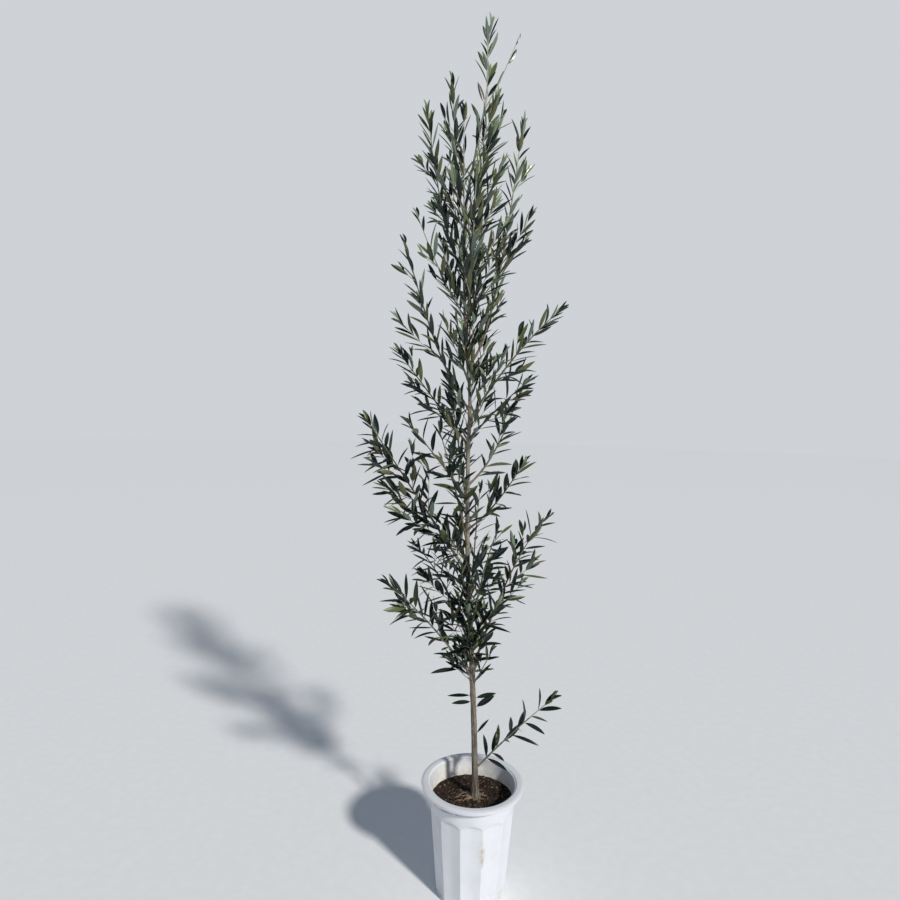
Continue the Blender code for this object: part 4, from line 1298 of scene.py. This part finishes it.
def limb_radii(path, foot_radius, spacing, seed):
    """Taper, swollen foot, ridges at the leaf pairs and fissures, for each corner."""
    lengths = lengths_along(path)
    shares = lengths / lengths[-1]
    radii = limb_radius(foot_radius, shares)
    radii = radii * (1.0 + LIMB_COLLAR * np.exp(-((lengths / LIMB_COLLAR_LENGTH) ** 2)))
    off_node = spacing * (((lengths[-1] - lengths) / spacing + 0.5) % 1.0 - 0.5)
    radii = radii * (1.0 + NODE_SWELL * np.exp(-((off_node / NODE_LENGTH) ** 2)))
    deepest, full_from, least, fineness = LIMB_FISSURES
    depth = deepest * np.clip(radii / full_from, least, 1.0)
    rough = np.array([
        [fissures(turn, length, seed, fineness) for turn in turns_of(LIMB_SIDES)]
        for length in lengths
    ])
    return radii[:, None] * (1.0 + depth[:, None] * rough), lengths, shares


limb_bundles = bundle_each()
stem_paths = {}
foot_age, for_radius, falling, oldest = LIMB_AGE
for index, (name, storey, limb, start, _) in enumerate(masses):
    if name in LEAVES_ONLY:
        continue
    path, foot_radius = limb_path(limb, start), limb.foot_radius
    spacing = habit_of(storey, name).spacing
    radii, lengths, shares = limb_radii(path, foot_radius, spacing, LIMB_SEED + index)
    ages = np.clip(foot_age * foot_radius / for_radius * (1.0 - shares) ** falling, 0.0, oldest)
    places = bark_places(lengths, radii.mean(1), LIMB_SIDES, 1.0 + index)
    limb_bundles[storey].add_rings(tube(path, radii, LIMB_SIDES)[0], ages=ages, places=places)
    stem_paths[name] = path
print("limb paths:", len(stem_paths))

# %% The leader's tip
TIP_ROWS = 42
TIP_OVERLAP = 0.004
TIP_AGE = 0.12
TIP_SEED = 60.0
heights = np.linspace(TRUNK_TOP - TIP_OVERLAP, CROWN_TOP_LINE[-1][0], TIP_ROWS)
path = np.array([smooth_line(CROWN_TOP_LINE, max(h, TRUNK_TOP)) for h in heights])
path[:, 2] = heights
shares = evenly(TIP_ROWS)
radii = limb_radius(TRUNK_TIP_RADIUS, shares)
places = bark_places(lengths_along(path), radii, LIMB_SIDES, TIP_SEED)
ages = TIP_AGE * (1.0 - shares)
limb_bundles["top"].add_rings(tube(path, radii, LIMB_SIDES)[0], ages=ages, places=places)
stem_paths["crown_top"] = path

for storey, _ in STOREYS:
    replaced = ["bough_" + m.name for m in masses if m.storey == storey and m.name in BOUGHS]
    limb_bundles[storey].to_piece("boughs_" + storey, [bough_bark], 70.0, "bark", replaced)

# %% [markdown]
# ## Room for each mass
#
# Two masses never share space. The rule is simple: a point belongs to the mass whose stem is
# nearest. A twig or leaf with any point nearer to another stem, or too near to a bare limb or
# the pot, isn't grown at all, as a shaded bud on a real tree stays closed. Distances from many
# points to many straight pieces are one array sum, so the test takes no time.

# %% Distances and the space rule
LIMB_CLEARANCE = 0.0020
POT_CLEARANCE = 0.012
TRUNK_TEST_POINTS = 41
TOP_TEST_POINTS = 6


def as_pieces(lines):
    """Starts, ends and radii of the straight pieces of several lines, with the line's number."""
    starts = np.vstack([points[:-1] for points, _ in lines])
    ends = np.vstack([points[1:] for points, _ in lines])
    radii = np.concatenate([np.maximum(r[:-1], r[1:]) for _, r in lines])
    owners = np.concatenate([np.full(len(points) - 1, k) for k, (points, _) in enumerate(lines)])
    return starts, ends, radii, owners


def distances(points, starts, ends, radii):
    """Distance from each point to the skin of each straight piece."""
    along = ends - starts
    relative = points[:, None] - starts[None]
    share = np.clip((relative * along).sum(-1) / (along**2).sum(-1), 0.0, 1.0)
    return np.linalg.norm(relative - along * share[..., None], axis=-1) - radii


bare_pieces = as_pieces([trunk_line(TRUNK_TEST_POINTS)[1:], *bare_lines])
stem_lines = [limb_points(mass.limb, mass.bare, 1.0, STEM_STEP) for mass in masses]
heights = np.linspace(TRUNK_TOP + GAP, CROWN_TOP_LINE[-1][0], TOP_TEST_POINTS)
top_points = np.array([smooth_line(CROWN_TOP_LINE, h) for h in heights])
top_radii = limb_radius(TRUNK_TIP_RADIUS, evenly(TOP_TEST_POINTS))
stem_pieces = as_pieces([*stem_lines, (top_points, top_radii)])


def has_room(probes, owner=None):
    """For each row of probes, whether all are clear of limbs and pot and in the owner's space."""
    points = probes.reshape(-1, 3)
    fine = distances(points, *bare_pieces[:3]).min(1) > LIMB_CLEARANCE
    from_axis = np.hypot(points[:, 0], points[:, 1])
    fine &= (points[:, 2] > POT_HEIGHT + POT_CLEARANCE) | (from_axis > RIM_RADIUS + POT_CLEARANCE)
    if owner is not None:
        gaps = distances(points, *stem_pieces[:3])
        mine = stem_pieces[3] == owner
        fine &= gaps[:, mine].min(1) < gaps[:, ~mine].min(1)
    return fine.reshape(probes.shape[:2]).all(1)


print("straight pieces:", len(bare_pieces[0]), "bare and", len(stem_pieces[0]), "leafy")

# %% [markdown]
# ## How an olive shoot grows
#
# Olive leaves stand in pairs, and each pair is turned a quarter from the last. At its very tip a
# shoot has one small pale pair, folded along the shoot. Further down the leaves soon reach their
# full size, stand off by up to fifty degrees low in the crown, and stay closer to the upright
# shoots of its top. Side twigs come from the same joints as the leaves. One rule grows them all:
# it walks from the tip of a shoot back to its foot, sets a pair of leaves at each joint, and
# starts a twig at some of them, on which the rule runs again. A seed makes every tree the same.

# %% Sizes of shoots and leaves
LEAF_LENGTH = 0.072
LEAF_WIDTHS = {"lower": 0.0140, "middle": 0.0136, "upper": 0.0126, "top": 0.0118}
# Distances from a tip up to which leaves are small, and up to which they open out
YOUNG_SPAN = 0.055
OPENING_SPAN = 0.070
YOUNG_SPACING = 0.75
# On a short shoot, the share of its length that is young, and how much longer leaves open
SHORT_SHOOT_SHARE = 0.3
LATE_OPENING = 1.5
TIP_OPENNESS = 0.1
TIP_SPREAD = 10
PAIR_TWIST = 0.22
TWIG_RADIUS = 0.0011
TWIG_TIP_RADIUS = 0.0006
TWIG_SPREAD = 38
TWIG_SHARE = 0.42
TWIG_SHORTEST = 0.035
TWIG_LONGEST = 0.125
TWIG_LIFT = 0.18
TWIG_STEP = 0.012
TWIG_FEWEST_POINTS = 5
TWIG_BARE = 0.010
TWIG_CLEARANCE = 0.003
# How far single twigs differ: share of the length, degrees of the spread
TWIG_LENGTHS = (0.75, 1.2)
TWIG_SPREADS = (-8.0, 8.0)
# Leaves turn their faces some way up and some way to the light
FACE_UP = 0.5 * UP
TO_LIGHT = 0.4 * np.array(SUN_FROM.normalized())
# Shoots whose rise is above this take their sides from the X axis, because UP is along them
NEARLY_UPRIGHT = 0.95
SEED = 11
MASS_SEED = 1000


def any_side(along, turn, spread):
    """A direction that leaves a shoot by an angle, at a given turn round it."""
    helper = UP if abs(along[2]) < NEARLY_UPRIGHT else np.array([1.0, 0.0, 0.0])
    first = unit(np.cross(along, helper))
    outward = first * math.cos(turn) + np.cross(along, first) * math.sin(turn)
    return along * math.cos(spread) + outward * math.sin(spread)


def joints_of(path, bare_length, spacing):
    """(place, direction, distance from the tip) at each joint, from the tip back."""
    lengths = lengths_along(path)
    found, from_tip = [], 0.0
    while lengths[-1] - from_tip > bare_length:
        reached = lengths[-1] - from_tip
        k = min(int(np.searchsorted(lengths, reached, side="right")) - 1, len(path) - 2)
        share = (reached - lengths[k]) / (lengths[k + 1] - lengths[k])
        along = path[k + 1] - path[k]
        found.append((path[k] + along * min(share, 1.0), unit(along), from_tip))
        grown = min(1.0, from_tip / YOUNG_SPAN)
        from_tip += spacing * (YOUNG_SPACING + (1.0 - YOUNG_SPACING) * grown)
    return found


def twig_path(start, direction, length):
    shares = evenly(max(TWIG_FEWEST_POINTS, round(length / TWIG_STEP)))[:, None]
    return start + direction * length * shares + UP * TWIG_LIFT * length * shares**2


print("leaf:", LEAF_LENGTH, "by", LEAF_WIDTHS)

# %% Tones of the leaves
# Faces of the top, from deep green to the pale green of young leaves, and of the underside;
# leaf_sunlit is a painted sunlit tone
TOP_TONES = (
    ("leaf_deep", (0.005, 0.013, 0.009)),
    ("leaf_green", (0.010, 0.024, 0.014)),
    ("leaf_bluish", (0.010, 0.024, 0.020)),
    ("leaf_olive", (0.042, 0.055, 0.021)),
    ("leaf_yellowish", (0.110, 0.138, 0.056)),
    ("leaf_sunlit", (0.205, 0.275, 0.145)),
    ("leaf_young", (0.260, 0.340, 0.175)),
)
UNDER_TONES = (
    ("underside_grey_green", (0.030, 0.045, 0.035)),
    ("underside_silver", (0.185, 0.245, 0.185)),
    ("underside_tan", (0.140, 0.146, 0.066)),
    ("underside_young", (0.270, 0.330, 0.215)),
)
# How many leaves in a hundred get each tone. Paler tones, leaf_sunlit among them, are
# commoner up the crown and darker ones lower down, partly as painted light and shade
TOP_SHARES = {
    "lower": (34, 28, 18, 15, 5, 0), "middle": (32, 28, 16, 16, 7, 1),
    "upper": (25, 26, 14, 20, 11, 4), "top": (20, 18, 10, 16, 20, 16),
}
UNDER_SHARES = {
    "lower": (62, 12, 26), "middle": (52, 16, 32), "upper": (44, 24, 32), "top": (24, 42, 34),
}
# The height up to which leaves have the tones of a storey
TONE_HEIGHTS = (("lower", 0.98), ("middle", 1.72), ("upper", 1.95), ("top", 9.0))
# How likely the smallest leaves at a tip are to be pale
YOUNG_SHARES = {"lower": 0.30, "middle": 0.38, "upper": 0.6, "top": 1.2}
print(len(TOP_TONES), "top tones and", len(UNDER_TONES), "undersides")

# %% Leaves of a shoot
# How far single leaves differ from the rule: degrees of spread, turn and facing, then shares of
# the length and the width, then degrees of fold
SPREADS, TURNS, FACINGS = (-10.0, 10.0), (-0.25, 0.25), (-0.45, 0.45)
LENGTHS, WIDTHS, FOLDS = (0.76, 1.14), (0.76, 1.18), (8.0, 32.0)
# Middle value and scatter of the droop, the sway and the twist, in degrees
DROOP, SWAY, TWIST = (6.0, 11.0), (0.0, 6.0), (0.0, 15.0)
# How much shorter, narrower and more folded the youngest leaves are
YOUNG_SHORTER, YOUNG_NARROWER, YOUNG_FOLD = 0.50, 0.35, 26.0
# The chance of a pale leaf grows with its youth by this gain, less this offset
PALE_GAIN, PALE_OFFSET = 1.3, 0.55
# The two leaves of a pair
HALVES = (0.0, math.pi)


def leaf_numbers(rng, place, along, turn, young, opened, storey, habit):
    """One leaf: place, direction, facing, then its sizes, bends and tones."""
    spread = TIP_SPREAD + (habit.spread - TIP_SPREAD) * opened + rng.uniform(*SPREADS) * opened
    direction = any_side(along, turn + rng.uniform(*TURNS), math.radians(spread))
    direction = unit(direction + UP * habit.lift * opened)
    facing = along + FACE_UP + TO_LIGHT + np.array([rng.uniform(*FACINGS) for _ in "xyz"])
    length = LEAF_LENGTH * habit.size * (1.0 - YOUNG_SHORTER * young) * rng.uniform(*LENGTHS)
    width = LEAF_WIDTHS[storey] * habit.size * (1.0 - YOUNG_NARROWER * young)
    width *= rng.uniform(*WIDTHS)
    droop = math.radians(rng.gauss(*DROOP)) * opened
    sway = math.radians(rng.gauss(*SWAY))
    fold = math.radians(rng.uniform(*FOLDS) + YOUNG_FOLD * young)
    twist = math.radians(rng.gauss(*TWIST))
    # Tones by height: paler up the crown and darker low down, partly painted light and shade
    like = storey_of(place[2], TONE_HEIGHTS)
    top = rng.choices(range(len(TOP_TONES) - 1), TOP_SHARES[like])[0]
    under = rng.choices(range(len(UNDER_TONES) - 1), UNDER_SHARES[like])[0]
    if rng.random() < YOUNG_SHARES[like] * (PALE_GAIN * young - PALE_OFFSET):
        top, under = len(TOP_TONES) - 1, len(UNDER_TONES) - 1
    return (*place, *direction, *facing, length, width, droop, sway, fold, twist, top, under)


def pair_of(rng, kept, place, along, turn, *state):
    """Leaf numbers of the pair at a joint, or of those of the two that are kept."""
    return [
        leaf_numbers(rng, place, along, turn + half, *state)
        for half in HALVES if rng.random() < kept
    ]


def leaves_of(rng, path, bare_length, storey, habit):
    """Leaf numbers of a whole shoot, and its joints with the turn of each pair."""
    joints = joints_of(path, bare_length, habit.spacing)
    young_length = SHORT_SHOOT_SHARE * lengths_along(path)[-1]
    turn = rng.uniform(0.0, math.pi)
    leaves, turned = [], []
    for place, along, from_tip in joints:
        turn += 0.5 * math.pi + rng.uniform(-PAIR_TWIST, PAIR_TWIST)
        young = 1.0 - min(1.0, from_tip / min(YOUNG_SPAN, young_length))
        grown = min(1.0, from_tip / min(OPENING_SPAN, LATE_OPENING * young_length))
        opened = TIP_OPENNESS + (1.0 - TIP_OPENNESS) * grown
        leaves += pair_of(rng, habit.kept, place, along, turn, young, opened, storey, habit)
        turned.append((place, along, from_tip, turn))
    return leaves, turned


def twig_has_room(path, owner):
    places, margin = path[1:], UP * TWIG_CLEARANCE
    return has_room(np.vstack([places, places + margin, places - margin])[None], owner)[0]


def grow_mass(owner, path, bare_length, storey, habit):
    """The twigs and the leaves of one mass, before the leaves are tested for room."""
    rng = random.Random(SEED * MASS_SEED + owner)
    leaves, joints = leaves_of(rng, path, bare_length, storey, habit)
    twigs = []
    for index, (place, along, from_tip, turn) in enumerate(joints):
        length = min(TWIG_SHARE * from_tip, TWIG_LONGEST) * rng.uniform(*TWIG_LENGTHS)
        side = rng.choice(HALVES)
        spread = math.radians(TWIG_SPREAD + rng.uniform(*TWIG_SPREADS))
        if index % habit.twig_every or length < TWIG_SHORTEST:
            continue
        for half in (side, side + math.pi):
            twig = twig_path(place, any_side(along, turn + half, spread), length)
            if twig_has_room(twig, owner):
                twigs.append(twig)
                leaves += leaves_of(rng, twig, TWIG_BARE, storey, habit)[0]
                break
    return twigs, leaves


lengths = {name: lengths_along(path)[-1] for name, path in stem_paths.items()}
print("longest stem:", max(lengths, key=lengths.get), round(max(lengths.values()), 2))

# %% [markdown]
# ## The shape of a leaf
#
# An olive leaf is a slim lance, leathery, with a groove along its top and a rib beneath. It
# bends down a little, sways, and twists. Each leaf is a closed flat tube of nine rings with six
# corners: two on the edges, three across the top and one under the rib. All leaves of a mass
# are worked out at once, as arrays with a row for each leaf and a column for each ring.

# %% Leaf rings
RING_AT = np.array([0.0, 0.06, 0.14, 0.28, 0.44, 0.60, 0.76, 0.90, 1.0])
PETIOLE = 0.06
# How blunt the blade is at its foot and at its tip
BLADE_FOOT, BLADE_TIP = 0.72, 0.86
BLADE = np.clip((RING_AT - PETIOLE) / (1.0 - PETIOLE), 0.0, 1.0)
OUTLINE = BLADE**BLADE_FOOT * (1.0 - BLADE) ** BLADE_TIP
OUTLINE = OUTLINE / OUTLINE.max()
PETIOLE_HALF_WIDTH = 0.0006
TIP_HALF_WIDTH = 0.00012
LEAF_THICKNESS = 0.00045
RIB_HEIGHT = 0.00045
# Across the ring from the left edge over the top to the right edge, then under the rib
ACROSS = np.array([-1.0, -0.5, 0.0, 0.5, 1.0, 0.0])
BODY = np.array([0.0, 0.75, 0.25, 0.75, 0.0, -0.5])
UNDER_CORNERS = (4, 5)
UNDER_RIB = 5
# Near its ends a leaf is no thicker than these shares of its half width, nor is its rib
THICKEST, RIB_HIGHEST = 1.4, 0.8
RIB_FADE = 0.8


def leaf_rings(numbers):
    """Corners of many leaves, as leaf, ring, corner and axis."""
    root, direction, facing = numbers[:, 0:3], unit(numbers[:, 3:6]), numbers[:, 6:9]
    length, width, droop, sway, fold, twist = numbers[:, 9:15].T
    side = unit(np.cross(direction, facing))
    normal = np.cross(side, direction)
    bend = side * sway[:, None] - normal * droop[:, None]
    amount = np.linalg.norm(bend, axis=1) + 1e-6
    bend = bend / amount[:, None]
    axis = np.cross(direction, bend)
    angle = amount[:, None] * RING_AT
    sine, cosine = np.sin(angle)[..., None], np.cos(angle)[..., None]
    reach = (length / amount)[:, None, None]
    middle = root[:, None] + reach * (sine * direction[:, None] + (1.0 - cosine) * bend[:, None])
    along = cosine * direction[:, None] + sine * bend[:, None]
    in_plane = (normal * bend).sum(-1)[:, None, None]
    off_plane = (normal * axis).sum(-1)[:, None, None]
    up = in_plane * (cosine * bend[:, None] - sine * direction[:, None])
    up = up + off_plane * axis[:, None]
    out = np.cross(along, up)
    turn = twist[:, None] * RING_AT
    turn_cos, turn_sin = np.cos(turn)[..., None], np.sin(turn)[..., None]
    up, out = up * turn_cos + out * turn_sin, out * turn_cos - up * turn_sin
    half = 0.5 * width[:, None] * OUTLINE
    half = np.maximum(half, np.where(RING_AT <= PETIOLE, PETIOLE_HALF_WIDTH, TIP_HALF_WIDTH))
    rise = half[..., None] * np.abs(ACROSS) * np.tan(fold)[:, None, None]
    rise = rise + np.minimum(LEAF_THICKNESS, THICKEST * half)[..., None] * BODY
    rib = RIB_HEIGHT * (1.0 - RIB_FADE * RING_AT)
    rise[..., UNDER_RIB] -= np.minimum(rib, RIB_HIGHEST * half)
    return (
        middle[:, :, None]
        + out[:, :, None] * (half[..., None] * ACROSS)[..., None]
        + up[:, :, None] * rise[..., None]
    )


LEAF_QUADS = ring_faces(len(RING_AT), len(ACROSS))
END_CORNERS = np.arange(len(ACROSS))
LEAF_FACES = [*LEAF_QUADS, END_CORNERS[::-1], END_CORNERS + LEAF_QUADS.max() + 1 - len(ACROSS)]
print("faces of a leaf:", len(LEAF_FACES))

# %% Finishes of leaves and twigs
# Twig tones by storey, dark olive low down to pale grey at the top: partly painted shade and light
TWIG_TONES_SHADED_TO_LIT = {
    "lower": (0.120, 0.125, 0.065), "middle": (0.130, 0.135, 0.072),
    "upper": (0.220, 0.225, 0.140), "top": (0.440, 0.460, 0.350),
}
GLOSS_RANGE = (-0.07, 0.09)
LEAF_SPECULAR = 0.42


def leaf_finish(name, tone, roughness, velvet=0.0):
    """A plain tone, dealt out leaf by leaf, with waxy unevenness in its gloss and relief."""
    finish = Finish(name, tone, roughness)
    wax = finish.speckles(260.0, 3.0, 0.3, 0.7)
    finish.gloss(wax, *(roughness + part for part in GLOSS_RANGE))
    finish.set("Sheen Weight", velvet)
    finish.set("Specular IOR Level", LEAF_SPECULAR)
    finish.relief(wax, 0.00012, 0.6)
    return finish


leaf_finishes = [leaf_finish(name, tone, 0.28) for name, tone in TOP_TONES]
leaf_finishes += [leaf_finish(name, tone, 0.70, velvet=0.10) for name, tone in UNDER_TONES]
twig_skins = {
    storey: leaf_finish("twig_skin_" + storey, tone, 0.65) for storey, tone in TWIG_TONES_SHADED_TO_LIT.items()
}
print("leaf finishes:", len(leaf_finishes))

# %% [markdown]
# ## Growing the crown
#
# Now the rule runs for each mass. The leaves that would leave their space are dropped by the
# same test as the twigs, with points on their edges and midribs. What is left is joined by
# storey, leaves apart from twigs, and each piece hides the coarse masses that it stands for.

# %% Grow every mass
PROBE_RINGS = (4, 6, 8)
PROBE_CORNERS = (0, 2, 4)
TWIG_SIDES = 6
STEM_BARE = 0.012


def add_leaves(bundle, leaves, owner=None):
    """Add the leaves that have room, and tell how many they are."""
    if not leaves:
        return 0
    numbers = np.array(leaves)
    rings = leaf_rings(numbers)
    probes = rings[:, PROBE_RINGS][:, :, PROBE_CORNERS].reshape(len(rings), -1, 3)
    kept = has_room(probes, owner)
    for ring, leaf in zip(rings[kept], numbers[kept]):
        top, under = int(leaf[15]), len(TOP_TONES) + int(leaf[16])
        tones = [under if k in UNDER_CORNERS else top for k in range(len(ACROSS))]
        slots = tones * (len(RING_AT) - 1) + [top, top]
        bundle.add(ring, LEAF_FACES, slots)
    return int(kept.sum())


def add_twig(bundle, path):
    radii = TWIG_RADIUS + (TWIG_TIP_RADIUS - TWIG_RADIUS) * evenly(len(path))
    bundle.add_rings(tube(path, radii, TWIG_SIDES)[0])


leaf_bundles, twig_bundles = bundle_each(), bundle_each()
leaf_count, twig_count = 0, 0
owners = [*masses, Mass("crown_top", "top", None, 0.0, 0.0)]
for owner, (name, storey, limb, _, bare) in enumerate(owners):
    if name in LEAVES_ONLY:
        continue
    path, bare_length = stem_paths[name], STEM_BARE
    if limb is not None:
        off = np.linalg.norm(path - limb_point(limb, bare), axis=1)
        bare_length += lengths_along(path)[np.argmin(off)]
    twigs, leaves = grow_mass(owner, path, bare_length, storey, habit_of(storey, name))
    leaf_count += add_leaves(leaf_bundles[storey], leaves, owner)
    for twig in twigs:
        add_twig(twig_bundles[storey], twig)
    twig_count += len(twigs)
print("leaves:", leaf_count, "twigs:", twig_count)

# %% [markdown]
# ## Leaves close to the trunk
#
# The heart of the crown isn't empty. A young olive keeps single pairs on the wood of its boughs,
# and short spurs with a few pairs all the way up its trunk, each turned by the golden angle from
# the last, so that no two stand above each other. The front of the trunk is left clear over the
# stretches where its wood shows.

# %% Pairs on the bare wood of the boughs
WOOD_START = 0.40
WOOD_OVERLAP = 0.02
WOOD_BARE = 0.004
WOOD_KEPT = 0.62
WOOD_SEED = 2000
for owner, (name, limb) in enumerate(BOUGHS.items()):
    storey = storey_of(limb.leaves_at)
    habit = habit_of(storey, name)
    rng = random.Random(SEED * WOOD_SEED + owner)
    wood, _ = limb_points(limb, WOOD_START * limb.bare, limb.bare + WOOD_OVERLAP, FINE_STEP)
    for place, along, _ in joints_of(wood, WOOD_BARE, habit.spacing):
        turn = rng.uniform(0.0, math.pi)
        leaves = pair_of(rng, WOOD_KEPT, place, along, turn, 0.0, 1.0, storey, habit)
        leaf_count += add_leaves(leaf_bundles[storey], leaves)
print("leaves with those on the wood:", leaf_count)

# %% Spurs on the trunk
GOLDEN_ANGLE = math.degrees(math.pi * (3.0 - math.sqrt(5.0)))
# Stretches of the trunk with spurs: lowest, highest, spacing, lengths, angles of rise
SPUR_STRETCHES = (
    (0.635, 1.000, 0.030, (0.045, 0.115), (42.0, 66.0)),
    (1.000, 1.340, 0.055, (0.045, 0.100), (42.0, 60.0)),
    (1.350, 1.530, 0.036, (0.045, 0.110), (46.0, 66.0)),
    (1.660, 2.110, 0.040, (0.120, 0.210), (58.0, 68.0)),
)
SPUR_TRIES = 5
NEXT_SIDE = 47.0
SPUR_SEAT = 0.8
SPUR_BARE = 0.012
# Compass angles without spurs, and the heights that this holds for
CLEAR_SIDES = (
    (200.0, 360.0, 0.00, 0.66), (200.0, 360.0, 1.02, 1.33), (270.0, 360.0, 0.93, 1.33),
    (0.0, 90.0, 0.93, 1.33), (60.0, 145.0, 1.59, 2.20), (215.0, 290.0, 1.59, 2.20),
)
# Spurs at places of their own, at the foot of the crown and where the heart of it is dense:
# height, compass angle, length, angle of rise, length without leaves
OWN_SPURS = (
    (0.605, 232, 0.070, 60), (0.618, 186, 0.075, 38), (0.640, 215, 0.085, 52),
    (0.662, 262, 0.085, 66), (0.690, 292, 0.080, 62), (0.705, 205, 0.100, 50),
    (0.735, 250, 0.095, 66), (0.770, 228, 0.090, 58), (0.800, 275, 0.090, 68),
    (0.850, 240, 0.095, 60), (0.900, 350, 0.100, 45, 0.025), (0.930, 205, 0.115, 46, 0.030),
    (0.970, 170, 0.120, 48, 0.030), (0.830, 15, 0.090, 40, 0.025), (1.280, 188, 0.105, 52, 0.020),
    (1.320, 158, 0.105, 55, 0.020), (1.360, 205, 0.105, 57, 0.020), (1.420, -12, 0.105, 58, 0.015),
    (1.470, 22, 0.095, 55, 0.015), (1.740, 8, 0.190, 55, 0.020), (1.860, -32, 0.190, 56, 0.020),
    (1.930, 18, 0.175, 52, 0.020), (1.900, 172, 0.150, 60, 0.020), (1.435, 272, 0.100, 66),
    (1.465, 312, 0.105, 58), (1.500, 245, 0.105, 64), (1.530, 288, 0.110, 66),
    (1.560, 325, 0.110, 56), (1.585, 262, 0.110, 68), (1.615, 300, 0.110, 64),
    (1.640, 225, 0.110, 60), (1.670, 278, 0.110, 68), (1.700, 318, 0.110, 62),
    (1.735, 262, 0.105, 68),
)


def grow_spur(rng, height, degrees, length, rise, bare=SPUR_BARE):
    """Grow a spur on the trunk where there is room, and tell how many leaves it has."""
    storey = storey_of(height)
    start = trunk_point(height) + compass(degrees) * SPUR_SEAT * trunk_radius(height)
    spur = twig_path(start, heading(degrees, rise), length)
    if not has_room(spur[None, 2:])[0]:
        return 0
    add_twig(twig_bundles[storey], spur)
    leaves, _ = leaves_of(rng, spur, bare, storey, habit_of(storey))
    return add_leaves(leaf_bundles[storey], leaves)


rng = random.Random(SEED)
spur_count, turned = 0, 0.0
for lowest, highest, spacing, lengths, rises in SPUR_STRETCHES:
    for height in np.arange(lowest, highest, spacing):
        turned += GOLDEN_ANGLE
        for attempt in range(SPUR_TRIES):
            degrees = (turned + NEXT_SIDE * attempt) % 360.0
            if any(a < degrees < b and low < height < high for a, b, low, high in CLEAR_SIDES):
                continue
            grown = grow_spur(rng, height, degrees, rng.uniform(*lengths), rng.uniform(*rises))
            if grown:
                spur_count, leaf_count = spur_count + 1, leaf_count + grown
                break
for row in OWN_SPURS:
    leaf_count += grow_spur(rng, *row)
print("spurs:", spur_count, "and", len(OWN_SPURS), "at places of their own")

# %% Single leaves
# Height on the leader, compass angle, rise in degrees, length, width, tilt to the front, tones of
# the top and the underside
SINGLE_LEAVES = (
    (0.573, 182, 0, 0.068, 0.0125, 0.5, 0, 0), (0.556, 205, 6, 0.062, 0.0140, 0.7, 1, 0),
    (0.566, -4, 18, 0.062, 0.0130, 0.9, 1, 0), (0.538, 12, 30, 0.064, 0.0170, 1.3, 0, 0),
    (0.545, 95, 20, 0.060, 0.0130, 0.3, 2, 1), (0.462, 352, 54, 0.056, 0.0085, 0.8, 0, 0),
    (2.412, 5, 70, 0.072, 0.0050, 1.0, 1, 0), (2.392, 190, 62, 0.026, 0.0060, 1.0, 5, 3),
    (2.405, 185, 70, 0.050, 0.0120, 1.0, 1, 1), (2.373, 0, 64, 0.056, 0.0125, 1.0, 4, 1),
    (2.330, 180, 64, 0.064, 0.0145, 1.0, 3, 2), (2.296, 5, 70, 0.070, 0.0155, 1.0, 4, 2),
    (2.262, 20, 58, 0.060, 0.0125, 1.0, 2, 1), (2.243, 180, 72, 0.066, 0.0140, 1.0, 0, 0),
    (2.195, 175, 64, 0.062, 0.0130, 1.0, 3, 2),
)
LEAF_SEAT = 0.9
# Droop, sway, fold and twist of each, in degrees
SINGLE_BENDS = (6.0, 2.0, 12.0, 5.0)
for height, degrees, rise, length, width, tilt, top, under in SINGLE_LEAVES:
    on_trunk = height < TRUNK_TOP
    middle = trunk_point(height) if on_trunk else smooth_line(CROWN_TOP_LINE, height)
    start = middle + compass(degrees) * (LEAF_SEAT * trunk_radius(height) if on_trunk else 0.0)
    facing = UP + compass(270) * tilt
    bends = np.radians(SINGLE_BENDS)
    leaf = (*start, *heading(degrees, rise), *facing, length, width, *bends, top, under)
    leaf_count += add_leaves(leaf_bundles[storey_of(height)], [leaf])
print("leaves in all:", leaf_count)

# %% Join the crown by storey
for storey, _ in STOREYS:
    replaced = ["foliage_" + m.name for m in owners if m.storey == storey]
    twigs, leaves = twig_bundles[storey], leaf_bundles[storey]
    twigs.to_piece("twigs_" + storey, [twig_skins[storey]], 70.0, "foliage", replaced)
    leaves.to_piece("leaves_" + storey, leaf_finishes, 50.0, "foliage", replaced)
